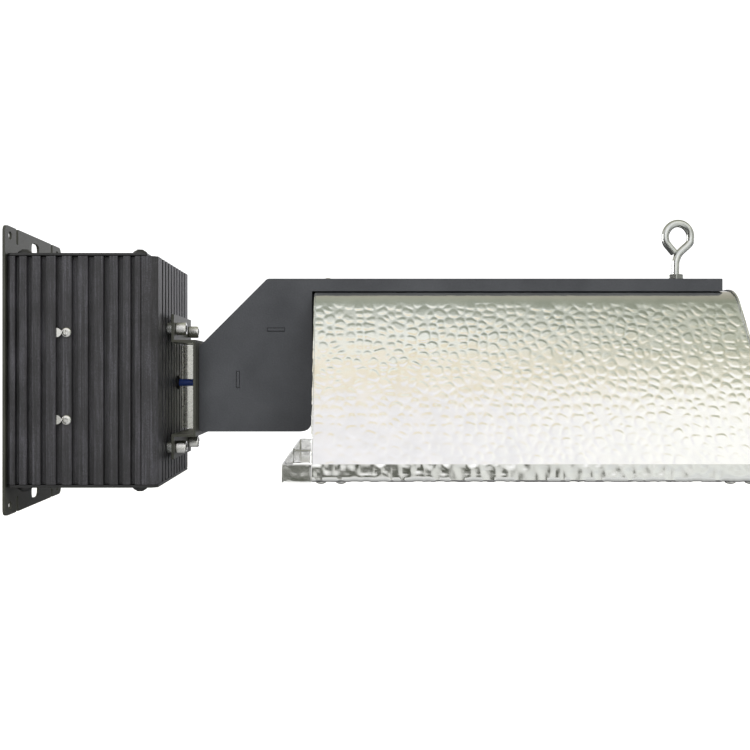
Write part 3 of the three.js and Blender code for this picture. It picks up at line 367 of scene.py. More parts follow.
def circuit():
    """Solder mask over copper tracks, with tinned pads."""
    m = Material("board_green")
    tracks = m.add("ShaderNodeTexBrick", {"Vector": m.place, "Scale": 90.0, "Mortar Size": 0.06})
    pads = m.range(m.cells(m.place, 160, randomness=0.6), 0.12, 0.16, 1.0, 0.0)
    mask = m.mix(tracks.outputs["Fac"], rgb(0.015, 0.12, 0.05), rgb(0.03, 0.2, 0.085))
    m.set("Base Color", m.mix(pads, mask, grey(0.62)))
    m.set("Metallic", pads)
    m.set("Roughness", m.range(pads, 0.0, 1.0, 0.35, 0.28))
    return m.data


FINISHES = {
    "plate_steel": powder_coat("plate_steel", rgb(0.036, 0.037, 0.029), rgb(0.066, 0.067, 0.053),
                               0.38, 1100, 0.3),
    "anodised_aluminium": anodised(),
    "cap_paint": powder_coat("cap_paint", grey(0.012), grey(0.024), 0.42, 1200),
    "arm_paint": powder_coat("arm_paint", rgb(0.031, 0.033, 0.038), rgb(0.06, 0.063, 0.07), 0.46, 1000),
    "hammered_aluminium": hammered(),
    "bright_screws": plated("bright_screws", rgb(0.74, 0.74, 0.73), rgb(0.83, 0.82, 0.77), 0.2),
    "zinc_steel": plated("zinc_steel", rgb(0.62, 0.64, 0.63), rgb(0.74, 0.75, 0.7), 0.22),
    "bare_aluminium": mill_aluminium(),
    "contact_brass": plated("contact_brass", rgb(0.72, 0.6, 0.34), rgb(0.8, 0.72, 0.5), 0.28),
    "grommet_rubber": moulded("grommet_rubber", grey(0.018), 0.7),
    "blue_sleeve": silicone("blue_sleeve", rgb(0.045, 0.1, 0.42)),
    "glass_fibre_sleeve": braid(),
    "ceramic": ceramic("ceramic", rgb(0.82, 0.79, 0.71), rgb(0.5, 0.45, 0.38)),
    "quartz": quartz(),
    "arc_ceramic": alumina(),
    "copper": copper_turns(),
    "ferrite": moulded("ferrite", grey(0.05), 0.6),
    "board_green": circuit(),
    "capacitor_foil": moulded("capacitor_foil", rgb(0.02, 0.045, 0.12), 0.3),
    "black_plastic": moulded("black_plastic", grey(0.014), 0.5),
    "grey_plastic": moulded("grey_plastic", grey(0.22), 0.5, 1.1),
    "pale_board": mica_board(),
}

# ---------------- mesh helpers


def link(mesh, slot, body="root", hides=(), crease=35):
    """Puts a finished mesh in the scene as a piece of the same name that rides on a body."""
    obj = bpy.data.objects.new(mesh.name, mesh)
    bpy.context.scene.collection.objects.link(obj)
    mesh.materials.clear()
    mesh.materials.append(FINISHES[slot])
    for polygon in mesh.polygons:
        polygon.use_smooth = True
    mesh.set_sharp_from_angle(angle=math.radians(crease))
    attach(obj, body)
    if hides:
        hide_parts(*hides)


def mesh_of(name, points, faces):
    """A closed mesh with its faces turned outwards."""
    mesh = bpy.data.meshes.new(name)
    mesh.from_pydata([tuple(p) for p in points], [], faces)
    work = bmesh.new()
    work.from_mesh(mesh)
    bmesh.ops.recalc_face_normals(work, faces=work.faces)
    work.to_mesh(mesh)
    work.free()
    return mesh


def middle_of(node):
    """The middle of a CAD node's box, as a list."""
    return [(a + b) / 2 for a, b in zip(*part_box(node))]


def aimed(place, axis):
    """A matrix that stands a piece made along +Z at a place, along an axis."""
    turn = Vector(axis).to_track_quat("Z", "Y").to_matrix().to_4x4()
    return Matrix.Translation(Vector(place)) @ turn


def tube_faces(rings, sides, closed=False):
    """Faces of a tube whose points are listed ring by ring. An open one gets two caps."""
    faces = []
    for k in range(rings if closed else rings - 1):
        here, above = k * sides, ((k + 1) % rings) * sides
        for i in range(sides):
            j = (i + 1) % sides
            faces.append((here + i, here + j, above + j, above + i))
    if not closed:
        faces.append(tuple(reversed(range(sides))))
        faces.append(tuple((rings - 1) * sides + i for i in range(sides)))
    return faces


def distances(line):
    """How far along a line each of its points lies."""
    return np.concatenate([[0], np.cumsum(np.linalg.norm(np.diff(line, axis=0), axis=1))])


def turned(name, rings, place, axis=(0, 0, 1), sides=48, closed=False):
    """A solid of rings (radius, height). A radius may be a function of the angle, for a
    hexagon or a cross. Open rings are capped at both ends; closed ones join up in a loop."""
    angles = [math.tau * i / sides for i in range(sides)]
    points = []
    for radius, height in rings:
        for angle in angles:
            r = radius(angle) if callable(radius) else radius
            h = height(angle) if callable(height) else height
            points.append(Vector((r * math.cos(angle), r * math.sin(angle), h)))
    matrix = aimed(place, axis)
    return mesh_of(name, [matrix @ p for p in points], tube_faces(len(rings), sides, closed))


def hexagon(across_corners):
    """Radius of a hexagon at an angle."""
    flat = across_corners / 2 * math.cos(math.pi / 6)

    def radius(angle):
        return flat / math.cos(angle % (math.pi / 3) - math.pi / 6)

    return radius


def cross(reach, half_width):
    """Radius of a Phillips cross at an angle."""

    def radius(angle):
        off = (angle + math.pi / 4) % (math.pi / 2) - math.pi / 4
        side = abs(math.sin(off))
        return min(reach / math.cos(off), half_width / side if side > 1e-6 else reach)

    return radius


def smooth_line(points, step):
    """Points at an even step along a Catmull-Rom curve."""
    p = [Vector(q) for q in points]
    p = [2 * p[0] - p[1]] + p + [2 * p[-1] - p[-2]]
    dense = []
    for k in range(1, len(p) - 2):
        for i in range(12):
            t = i / 12
            dense.append(0.5 * ((2 * p[k]) + (p[k + 1] - p[k - 1]) * t
                                + (2 * p[k - 1] - 5 * p[k] + 4 * p[k + 1] - p[k + 2]) * t * t
                                + (3 * p[k] - p[k - 1] - 3 * p[k + 1] + p[k + 2]) * t ** 3))
    dense.append(p[-2])
    line = np.array(dense)
    along = distances(line)
    even = np.linspace(0, along[-1], max(2, round(along[-1] / step) + 1))
    return np.stack([np.interp(even, along, line[:, k]) for k in range(3)], axis=1)


def swept(name, line, radius, sides=20):
    """A round bar along a line, capped at both ends. radius is a number or a function (step,
    angle) for threads and braids."""
    line = np.asarray(line, float)
    tangents = np.gradient(line, axis=0)
    tangents /= np.linalg.norm(tangents, axis=1)[:, None]
    normal = Vector(tangents[0]).orthogonal().normalized()
    points = []
    for k, (centre, tangent) in enumerate(zip(line, tangents)):
        tangent = Vector(tangent)
        normal = (normal - tangent * normal.dot(tangent)).normalized()
        side = tangent.cross(normal)
        for i in range(sides):
            angle = math.tau * i / sides
            r = radius(k, angle) if callable(radius) else radius
            points.append(Vector(centre) + (normal * math.cos(angle) + side * math.sin(angle)) * r)
    return mesh_of(name, points, tube_faces(len(line), sides))


# ---------------- hammered sheet


def smoothstep(x):
    x = np.clip(x, 0, 1)
    return x * x * (3 - 2 * x)


def pebbles(u, v, seed):
    """Height of the hammered pattern, in metres, at arrays of places on the sheet: rounded
    pebbles of mixed sizes, almost flat and a little tilted, with narrow valleys between."""
    table = 64
    draw = np.random.default_rng(seed)
    jitter = draw.uniform(-0.44, 0.44, (table, table, 2))
    size = draw.uniform(0, 1, (table, table)) ** 2 * 2.4 * MM
    tilt = draw.normal(0, 0.009, (table, table, 2))
    lift = draw.uniform(-0.03, 0.03, (table, table)) * MM
    column = np.floor(u / PEBBLE_PITCH).astype(int)
    row = np.floor(v / PEBBLE_PITCH).astype(int)
    nearest = np.full(u.shape, 1e9)
    crowd = np.zeros(u.shape)
    slope = np.zeros(u.shape)
    for di in range(-2, 3):
        for dj in range(-2, 3):
            i, j = (column + di) % table, (row + dj) % table
            du = u - (column + di + 0.5 + jitter[i, j, 0]) * PEBBLE_PITCH
            dv = v - (row + dj + 0.5 + jitter[i, j, 1]) * PEBBLE_PITCH
            reach = np.hypot(du, dv) - size[i, j]
            slope = np.where(reach < nearest, tilt[i, j, 0] * du + tilt[i, j, 1] * dv + lift[i, j], slope)
            nearest = np.minimum(nearest, reach)
            crowd += np.exp(-reach / (2 * PEBBLE_ROUNDING))
    # the soft distance to the valley: every neighbour counts, which rounds the corners off
    others = crowd * np.exp(nearest / (2 * PEBBLE_ROUNDING)) - 1
    inside = -PEBBLE_ROUNDING * np.log(np.maximum(others, 1e-6))
    dome = 0.05 * MM * (1 - np.clip(nearest / PEBBLE_PITCH, -1, 1) ** 2)
    return smoothstep(inside / PEBBLE_FLANK) * (PEBBLE_DEPTH + dome + slope)


def arc(centre, radius, start, end, steps):
    """Points on an arc, its ends included, with angles in radians."""
    return [(centre[0] + radius * math.cos(a), centre[1] + radius * math.sin(a))
            for a in np.linspace(start, end, steps)]


def wall_outline(step):
    """The outer line of a wall as (distance from the middle plane, height) at an even step:
    crown, shoulder, bowed wall, folded foot, rim and lip, with the normals beside it."""
    low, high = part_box("reflector_front")
    crown, lip_y = high.z, -low.y - SHEET
    line = [(0.15 * MM, crown)]
    centre = (CROWN_HALF, crown - SHOULDER_RADIUS)
    line += arc(centre, SHOULDER_RADIUS, math.pi / 2, math.pi / 2 - SHOULDER_ANGLE, 24)
    start = np.array(line[-1])
    bow, foot = np.array(WALL_BOW), np.array(WALL_FOOT)
    down = (foot - bow) / np.linalg.norm(foot - bow)
    turn = math.acos(down[0])
    set_back = FOOT_RADIUS * math.tan(turn / 2)
    for t in np.linspace(0, 1, 60)[1:]:
        point = (1 - t) ** 2 * start + 2 * t * (1 - t) * bow + t * t * foot
        if np.linalg.norm(foot - point) > set_back:
            line.append(tuple(point))
    inner = (foot[0] + set_back, foot[1] + FOOT_RADIUS)
    line += arc(inner, FOOT_RADIUS, -math.pi / 2 - turn, -math.pi / 2, 6)
    line += arc((lip_y - LIP_RADIUS, foot[1] + LIP_RADIUS), LIP_RADIUS, -math.pi / 2, 0, 7)
    line.append((lip_y, LIP_TOP))
    line = np.array(line)
    along = distances(line)
    count = 2 * round(along[-1] / step / 2) + 1
    even = np.linspace(0, along[-1], count)
    line = np.stack([np.interp(even, along, line[:, k]) for k in range(2)], axis=1)
    tangent = np.gradient(line, axis=0)
    tangent /= np.linalg.norm(tangent, axis=1)[:, None]
    normal = np.stack([-tangent[:, 1], tangent[:, 0]], axis=1)
    return line, normal, even


def stitched(fine, coarse):
    """Faces between an edge of the fine face and the same edge of the coarse one."""
    faces = []
    for k in range(len(coarse) - 1):
        a, b, c = fine[2 * k], fine[2 * k + 1], fine[2 * k + 2]
        faces += [(a, b, coarse[k]), (b, coarse[k + 1], coarse[k]), (b, c, coarse[k + 1])]
    return faces


def reflector_wall(name, side):
    """One wall of the reflector, from the crown's middle to the lip: a sheet whose outer face
    is a fine grid and whose inner face has half as many points each way."""
    low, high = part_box(f"reflector_{name}")
    line, normal, along = wall_outline(WALL_STEP)
    columns = 2 * round((high.x - low.x) / WALL_STEP / 2) + 1
    x = np.linspace(low.x, high.x, columns)
    along_grid, x_grid = np.meshgrid(along, x, indexing="ij")
    height = pebbles(x_grid, along_grid, seed=7 + side)
    shoulder_end = CROWN_HALF + SHOULDER_RADIUS * SHOULDER_ANGLE
    calm = smoothstep((along_grid - shoulder_end + SMOOTHED) / SMOOTHED_FADE)
    height *= calm * (1 - SMOOTHED_DEPTH) + SMOOTHED_DEPTH
    height *= np.where(line[:, :1] > WALL_FOOT[0], LIP_DEPTH, 1.0)
    edge = np.minimum(x_grid - low.x, high.x - x_grid)
    height *= smoothstep(edge / EDGE_FADE)

    def face_points(rise):
        y = side * (line[:, :1] + normal[:, :1] * rise)
        z = line[:, 1:] + normal[:, 1:] * rise
        return np.stack([x_grid, y, z], axis=-1)

    outer = face_points(height)
    inner = face_points(height - SHEET)[::2, ::2]
    rows, half_rows, half_columns = len(line), inner.shape[0], inner.shape[1]
    outer_index = np.arange(rows * columns).reshape(rows, columns)
    inner_index = np.arange(half_rows * half_columns).reshape(half_rows, half_columns) + rows * columns
    faces = []
    for index, flip in ((outer_index, side > 0), (inner_index, side < 0)):
        quads = np.stack([index[:-1, :-1], index[:-1, 1:], index[1:, 1:], index[1:, :-1]], axis=-1)
        quads = quads.reshape(-1, 4)
        faces += (quads[:, ::-1] if flip else quads).tolist()
    for edge_of in (np.s_[0], np.s_[-1], np.s_[:, 0], np.s_[:, -1]):
        faces += stitched(outer_index[edge_of].tolist(), inner_index[edge_of].tolist())
    points = np.concatenate([outer.reshape(-1, 3), inner.reshape(-1, 3)])
    mesh = mesh_of(f"hammered_wall_{name}", points, faces)
    link(mesh, "hammered_aluminium", hides=[f"reflector_{name}"], crease=50)


def hammered_end(name, seed):
    """An end panel's CAD sheet, cut into a fine grid and hammered on the spot."""
    node = f"reflector_{name}_end"
    off_corners = 0.013  # of a step: no cut runs through a corner of the sheet
    work = bmesh.new()
    work.from_mesh(frame["nodes"][node].data)
    bmesh.ops.remove_doubles(work, verts=work.verts, dist=0.01 * MM)
    low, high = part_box(node)
    for axis, normal in enumerate(np.eye(3)):
        length = high[axis] - low[axis]
        count = round(length / END_STEP)
        for k in range(1, count):
            place = normal * (low[axis] + length * (k + off_corners) / count)
            everything = work.verts[:] + work.edges[:] + work.faces[:]
            bmesh.ops.bisect_plane(work, geom=everything, dist=0.02 * MM, plane_co=place, plane_no=normal)
    bmesh.ops.remove_doubles(work, verts=work.verts, dist=0.02 * MM)
    bmesh.ops.triangulate(work, faces=work.faces)
    work.normal_update()
    co = np.array([v.co for v in work.verts])
    no = np.array([v.normal for v in work.verts])
    main = np.abs(no).argmax(axis=1)
    u = np.where(main == 0, co[:, 1], co[:, 0])
    v = np.where(main == 2, co[:, 1], co[:, 2])
    height = pebbles(u, v, seed) - PEBBLE_DEPTH - END_SINK
    square = np.abs(no).max(axis=1) > 0.95  # points away from the sheet's edges and folds
    co += no * (np.where(square, height, -FOLD_SINK) * END_DEPTH)[:, None]
    for vertex, point in zip(work.verts, co):
        vertex.co = point
    mesh = bpy.data.meshes.new(f"hammered_end_{name}")
    work.to_mesh(mesh)
    work.free()
    link(mesh, "hammered_aluminium", hides=[node], crease=40)


for side_name, side in SIDES:
    reflector_wall(side_name, side)
hammered_end("left", seed=31)
hammered_end("right", seed=32)

# ---------------- fasteners


def countersunk_screw(name, place, axis, r=4.2 * MM, slot="bright_screws"):
    """Flat Phillips head, level with the sheet."""
    mouth = cross(2.3 * MM, 0.55 * MM)
    rings = [(0.4 * MM, -1.5 * MM), (1.1 * MM, -1.5 * MM), (1.9 * MM, -1.5 * MM), (r, -0.35 * MM),
             (r, -0.1 * MM), (r - 0.15 * MM, 0.0), (2.5 * MM, 0.05 * MM), (mouth, 0.05 * MM),
             (cross(2.0 * MM, 0.4 * MM), -1.1 * MM), (0.1 * MM, -1.2 * MM)]
    link(turned(name, rings, place, axis, sides=64), slot)


def pan_screw(name, place, axis, radius=3.8 * MM, height=2.4 * MM, hides=()):
    """Domed Phillips head."""
    dome = [(radius * math.cos(a), height * (0.3 + 0.7 * math.sin(a))) for a in np.linspace(0, 1.05, 7)]
    rings = [(0.1 * MM, 0.0), (radius - 0.1 * MM, 0.0), (radius, 0.1 * MM), (radius, height * 0.3)]
    rings += dome[1:]
    mouth = 0.42 * radius
    rings += [(mouth * 1.12, height * 0.985), (cross(mouth, 0.13 * radius), height * 0.985),
              (cross(mouth * 0.85, 0.1 * radius), height * 0.35), (0.1 * MM, height * 0.3)]
    link(turned(name, rings, place, axis, sides=64), "bright_screws", hides=hides)


def rivet(name, place, axis, radius, height, slot):
    """Smooth domed head with a slight flat and a drilled middle."""
    rings = [(0.1 * MM, 0.0), (radius, 0.0)]
    rings += [(radius * math.cos(a), height * math.sin(a)) for a in np.linspace(0.1, 1.2, 7)]
    rings += [(radius * 0.28, height * 0.97), (radius * 0.22, height * 0.7), (0.05 * MM, height * 0.68)]
    link(turned(name, rings, place, axis, sides=40), slot)


def button_head(name, place, axis, radius=5.7 * MM, height=3.7 * MM):
    """Black domed cap screw with a hexagon socket."""
    socket, edge = hexagon(4.9 * MM), 0.3 * MM
    rings = [(0.1 * MM, 0.0), (radius - edge, 0.0), (radius, edge)]
    rings += [(radius * math.cos(a), edge + (height - edge) * math.sin(a))
              for a in np.linspace(0.12, 1.1, 9)]
    rings += [(2.75 * MM, height), (socket, height - 0.15 * MM), (socket, height * 0.3),
              (0.1 * MM, height * 0.25)]
    link(turned(name, rings, place, axis, sides=72), "cap_paint")


def socket_bolt(name, node, axis):
    """Socket cap screw: a knurled head with a rounded edge, on a plain shank."""
    radius, height = 5 * MM, 8 * MM
    place = middle_of(node)
    place[0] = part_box(node)[1].x - height
    knurl = 42

    def rim(angle):
        return radius - 0.16 * MM * (0.5 + 0.5 * math.cos(knurl * angle))

    socket = hexagon(5.8 * MM)
    shank, length = 3 * MM, 20 * MM
    rings = [(0.1 * MM, -length), (shank - 0.3 * MM, -length), (shank, 0.3 * MM - length), (shank, 0.0),
             (radius - 0.4 * MM, 0.0), (radius - 0.1 * MM, 0.3 * MM), (rim, 0.8 * MM),
             (rim, height - 1.4 * MM), (radius - 0.1 * MM, height - 1.0 * MM),
             (radius - 0.35 * MM, height - 0.3 * MM), (radius - 0.8 * MM, height),
             (3.2 * MM, height), (socket, height - 0.3 * MM), (socket, height - 4 * MM),
             (0.1 * MM, height - 4.6 * MM)]
    link(turned(name, rings, place, axis, sides=168), "bright_screws", hides=[node])


def sleeve(name, node, outer, bore):
    """A short tube in place of a round CAD spacer or washer, its edges broken."""
    low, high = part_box(node)
    size = high - low
    axis = min(range(3), key=lambda k: abs(size[k] - 2 * outer) < 0.2 * MM)
    length = size[axis]
    place = (low + high) / 2
    place[axis] = low[axis]
    way = [0, 0, 0]
    way[axis] = 1
    cut = min(0.3 * MM, length / 4)
    rings = [(bore, cut), (bore + cut, 0.0), (outer - cut, 0.0), (outer, cut), (outer, length - cut),
             (outer - cut, length), (bore + cut, length), (bore, length - cut)]
    link(turned(name, rings, place, way, sides=56, closed=True), "zinc_steel", hides=[node])


def hex_nut(name, node):
    """Hexagon nut with chamfered corners and a countersunk thread."""
    across, bore, turn = 12.8 * MM, EYE_WIRE + 0.1 * MM, math.radians(16)
    low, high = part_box(node)
    place = middle_of(node)
    place[2] = low.z
    height = high.z - low.z
    straight = hexagon(across)
    face = across / 2 * math.cos(math.pi / 6) - 0.15 * MM

    def side(angle):
        return straight(angle - turn)

    def lower_rim(angle):
        return (side(angle) - face) * 0.55

    def upper_rim(angle):
        return height - lower_rim(angle)

    rings = [(bore, 0.5 * MM), (bore + 0.5 * MM, 0.0), (face, 0.0), (side, lower_rim),
             (side, upper_rim), (face, height), (bore + 0.5 * MM, height), (bore, height - 0.5 * MM)]
    link(turned(name, rings, place, sides=96, closed=True), "zinc_steel", hides=[node])


def make_fasteners():
    """Every screw, bolt, spacer, rivet and nut, in its hole or on its CAD piece."""
    plate_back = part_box("mounting_plate")[0].x
    cap_faces = {"upper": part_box("ballast_top_cap")[1].z, "lower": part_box("ballast_bottom_cap")[0].z}
    for level, up in LEVELS:
        for side_name, side in SIDES:
            spot = f"{level}_{side_name}"
            place = (plate_back, side * PLATE_SCREW[0], up * PLATE_SCREW[1])
            countersunk_screw(f"plate_screw_{spot}", place, (-1, 0, 0))
            for near, x in zip(("plate", "arm"), CAP_SCREW_X):
                place = (x, side * CAP_SCREW_Y, cap_faces[level])
                button_head(f"cap_screw_{spot}_{near}", place, (0, 0, up))
            socket_bolt(f"socket_bolt_{spot}", f"bracket_bolt_{spot}", (1, 0, 0))
            sleeve(f"bolt_spacer_{spot}", f"bracket_spacer_{spot}", 5 * MM, 3.2 * MM)
            place = (BRACKET_RIVET[0], side * BRACKET_RIVET[1], BRACKET_RIVET_Z[level])
            rivet(f"bracket_rivet_{spot}", place, (-1, 0, 0), 3.6 * MM, 1.5 * MM, "cap_paint")
        x, _, z = middle_of(f"front_screw_{level}")
        pan_screw(f"front_head_{level}", (x, FRONT_SCREW_SEAT, z), (0, -1, 0),
                  hides=[f"front_screw_{level}"])
        clip_head(f"clip_end_{level}", (x - CLIP_BESIDE, CLIP_SEAT, z))
    rim_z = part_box("reflector_front")[0].z
    cover_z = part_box("arm_cover")[0].z
    box_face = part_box("right_holder_box")[0].x + BOX_SHEET
    small = {"radius": 3.2 * MM, "height": 1.9 * MM}
    for side_name, side in SIDES:
        for k, x in enumerate(RIM_SCREW_X):
            rivet(f"rim_screw_{side_name}_{k + 1}", (x, side * RIM_SCREW_Y, rim_z), (0, 0, -1),
                  3.7 * MM, 1.8 * MM, "bright_screws")
        place = (COVER_SCREW[0], side * COVER_SCREW[1], cover_z)
        countersunk_screw(f"cover_screw_{side_name}", place, (0, 0, -1), 3.4 * MM, "cap_paint")
        place = (box_face, side * BOX_SCREW[0], BOX_SCREW[1])
        pan_screw(f"box_screw_{side_name}", place, (1, 0, 0), **small)
    place = (middle_of("spine_screw")[0], 0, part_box("arm_housing")[1].z)
    pan_screw("spine_head", place, (0, 0, 1), 3.5 * MM, 3.0 * MM, hides=["spine_screw"])
    hex_nut("eye_nut_above", "eye_top_nut")
    hex_nut("eye_nut_below", "eye_lock_nut")
    sleeve("crown_washer", "eye_washer", 8 * MM, EYE_WIRE + 0.3 * MM)
    left_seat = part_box("left_holder_bracket")[1].z
    for k, out in enumerate(HOLDER_SCREWS):
        pan_screw(f"left_holder_screw_{k + 1}", (LAMP_X - out, 0, left_seat), (0, 0, 1), **small)
        pan_screw(f"right_holder_screw_{k + 1}", (LAMP_X + out, 0, HOLDER_SEAT), (0, 0, 1), **small)


def clip_head(name, place):
    """The bright end of a spring clip that stands in the groove beside a front screw: half a
    disc, flat to the left and round to the right."""
    half, deep, stretch = 3.7 * MM, 1.6 * MM, 1.12
    outline = [(0.0, -half), *arc((0, 0), half, -math.pi / 2, math.pi / 2, 17)[1:-1], (0.0, half)]
    layers = ((1.0, deep), (1.0, 0.3 * MM), (0.93, 0.0))
    points = []
    for scale, depth in layers:
        points += [(place[0] + x * stretch * scale, place[1] + depth, place[2] + z * scale)
                   for x, z in outline]
    link(mesh_of(name, points, tube_faces(len(layers), len(outline))), "bright_screws")


make_fasteners()

# ---------------- eye bolt


def make_eye_bolt():
    """Bent wire: a rolled thread on the shank, then the eye, whose end closes on the shank."""
    x = middle_of("eye_top_nut")[0]
    centre, half_width, half_height = (x + 1.9 * MM, 110 * MM), 10.4 * MM, 11.4 * MM
    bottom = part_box("eye_bolt")[0].z
    points = [(x, 0, bottom), (x, 0, 70 * MM), (x, 0, 86 * MM), (x + 0.7 * MM, 0, 91.5 * MM),
              (x + 3.2 * MM, 0, 97 * MM)]
    for angle in np.radians(np.linspace(-28, 206, 13)):
        points.append((centre[0] + half_width * math.cos(angle), 0,
                       centre[1] + half_height * math.sin(angle)))
    points += [(x - 4.6 * MM, 0, 101.3 * MM), (x - 2.1 * MM, 0, 98.3 * MM), (x - 0.9 * MM, 0, 96.8 * MM)]
    step = 0.3 * MM
    line = smooth_line(points, step)
    pitch, depth, thread_end = 1.27 * MM, 0.42 * MM, 79 * MM

    def radius(k, angle):
        z = line[k][2]
        if k * step > thread_end - bottom:
            rest = (len(line) - 1 - k) * step
            return EYE_WIRE - max(0.0, 0.6 * MM - rest) * 0.8
        turn = (z / pitch - angle / math.tau) % 1
        fade = min(1.0, max(0.0, (thread_end - z) / (2 * MM)))
        return EYE_WIRE - depth * fade * (1 - abs(2 * turn - 1))

    wire = swept("eye_bolt_wire", line, radius, sides=32)
    link(wire, "zinc_steel", "eye_bolt", hides=["eye_bolt"], crease=60)


make_eye_bolt()

# ---------------- lamp


def make_lamp():
    """Quartz tube with the arc tube inside, its leads and frame wire, and the pinched ends."""
    centre = (LAMP_X, 0, 0)
    neck, bulb, wall, turn_in = 6.6 * MM, 15 * MM, 1.4 * MM, 12 * MM

    def shape(radius, small):
        """One end of the tube, from its neck to its full width, with a rounded shoulder."""
        return [(small + (radius - small) * math.sin(a), LAMP_HALF - turn_in * (1 - math.cos(a)))
                for a in np.linspace(0, math.pi / 2, 12)]

    outside, inside = shape(bulb, neck), shape(bulb - wall, neck - wall)
    rings = [(r, -h) for r, h in outside] + [(r, h) for r, h in reversed(outside)]
    rings += [(r, h) for r, h in inside] + [(r, -h) for r, h in reversed(inside)]
    mesh = turned("quartz_tube", rings, centre, (1, 0, 0), sides=72, closed=True)
    link(mesh, "quartz", "lamp", hides=["lamp_tube"], crease=70)

    arc_half, arc_radius = 90 * MM, 5 * MM
    end = [(0.9 * MM, arc_half + 14 * MM), (0.95 * MM, arc_half + 8 * MM),
           (2.2 * MM, arc_half + 7.6 * MM), (2.3 * MM, arc_half + 1 * MM),
           (4.2 * MM, arc_half - 0.5 * MM), (arc_radius, arc_half - 3.5 * MM)]
    rings = [(0.05 * MM, -end[0][1])] + [(r, -h) for r, h in end] + [(r, h) for r, h in reversed(end)]
    rings.append((0.05 * MM, end[0][1]))
    mesh = turned("arc_vessel", rings, centre, (1, 0, 0), sides=48)
    link(mesh, "arc_ceramic", "lamp", hides=["arc_tube"])

    def wire(name, points):
        """A bare wire inside the tube. Its points are (from the lamp's middle, height)."""
        line = smooth_line([(LAMP_X + x, 0, z) for x, z in points], 2 * MM)
        link(swept(name, line, 0.6 * MM, 12), "zinc_steel", "lamp")

    tip = LAMP_HALF - 6 * MM
    for side_name, side in ENDS:
        wire(f"arc_lead_{side_name}", [(side * (arc_half + 13 * MM), 0),
                                       (side * (arc_half + 30 * MM), 0.4 * MM), (side * tip, 0)])
    frame_wire = [(-tip, 0.2 * MM), (8 * MM - tip, 6 * MM), (22 * MM - tip, 9 * MM)]
    frame_wire += [(x * MM, 9 * MM) for x in (-90, -45, 0, 45, 90)]
    frame_wire += [(tip - 22 * MM, 9 * MM), (tip - 8 * MM, 6 * MM)]
    wire("arc_frame_wire", frame_wire)

    def flat(angle):
        """Radius of the pinched part, whose section is a rectangle."""
        return 1 / max(abs(math.cos(angle)) / (5.3 * MM), abs(math.sin(angle)) / (3.6 * MM))

    pin, pinch, stem = 1.5 * MM, 4.9 * MM, LAMP_HALF - 4 * MM
    base = PIN_END - 17 * MM
    rings = [(0.1 * MM, stem), (pinch, stem), (pinch, stem + 7 * MM), (flat, stem + 10 * MM),
             (flat, base - 3 * MM), (pinch * 0.8, base - 1 * MM), (pin + 0.5 * MM, base), (pin, base),
             (pin, PIN_END - 0.4 * MM), (pin - 0.4 * MM, PIN_END), (0.1 * MM, PIN_END)]
    for side_name, side in ENDS:
        mesh = turned(f"lamp_cap_{side_name}", rings, centre, (side, 0, 0), sides=48)
        link(mesh, "ceramic", "lamp", hides=[f"lamp_{side_name}_end"])


make_lamp()

# ---------------- wiring, grommets and the dial


def make_wiring():
    """The blue lamp cable, the two sleeved leads and the grommets."""
    low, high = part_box("lamp_cable")
    x, y, z = middle_of("lamp_cable")
    line = smooth_line([(low.x, y, z), (x, y, z), (high.x, y, z)], 1.5 * MM)
    link(swept("blue_cable", line, 3 * MM, 28), "blue_sleeve", hides=["lamp_cable"])

    def strands(k, angle):
        return 1.8 * MM + 0.07 * MM * (math.cos(8 * angle + 0.7 * k) + math.cos(8 * angle - 0.7 * k)) / 2

    # routes in millimetres
    left = [(168.3, 14, -10), (175, 14, -10), (182, 12, -4), (186, 9, 2.5), (189.7, 8, 4), (191.7, 8, 4)]
    spine = [(160, 16, -1.7), (160, 16, 12), (163, 15, 26), (176, 14, 48), (192, 13, 62),
             (206, 12, 68.4), (300, 12, 68.4), (420, 12, 68.4), (536, 12, 68.4), (545, 12, 66.4),
             (550, 12, 60), (553, 12, 48), (555, 12, 34), (557, 12, 22), (562, 12, 14),
             (569, 11.5, 11), (574.7, 10, 10), (577.7, 10, 10)]
    leads = (("left_holder_lead", "left_lead", left), ("right_holder_lead", "spine_lead", spine))
    for name, node, points in leads:
        line = smooth_line([tuple(c * MM for c in p) for p in points], 0.9 * MM)
        link(swept(name, line, strands, 24), "glass_fibre_sleeve", hides=[node])

    outer, neck, bore, flange = 6 * MM, 4.2 * MM, 3.25 * MM, 1.5 * MM
    lip = [(bore, 0.6 * MM), (bore + 0.5 * MM, 0.1 * MM), (outer - 0.7 * MM, 0.0),
           (outer - 0.15 * MM, 0.3 * MM), (outer, 0.8 * MM), (outer - 0.2 * MM, flange), (neck, flange)]
    for name in ("ballast_grommet", "arm_grommet"):
        low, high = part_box(name)
        length = high.x - low.x
        place = middle_of(name)
        place[0] = low.x
        rings = lip + [(r, length - h) for r, h in reversed(lip)]
        mesh = turned(f"{name}_ring", rings, place, (1, 0, 0), sides=48, closed=True)
        link(mesh, "grommet_rubber", hides=[name])


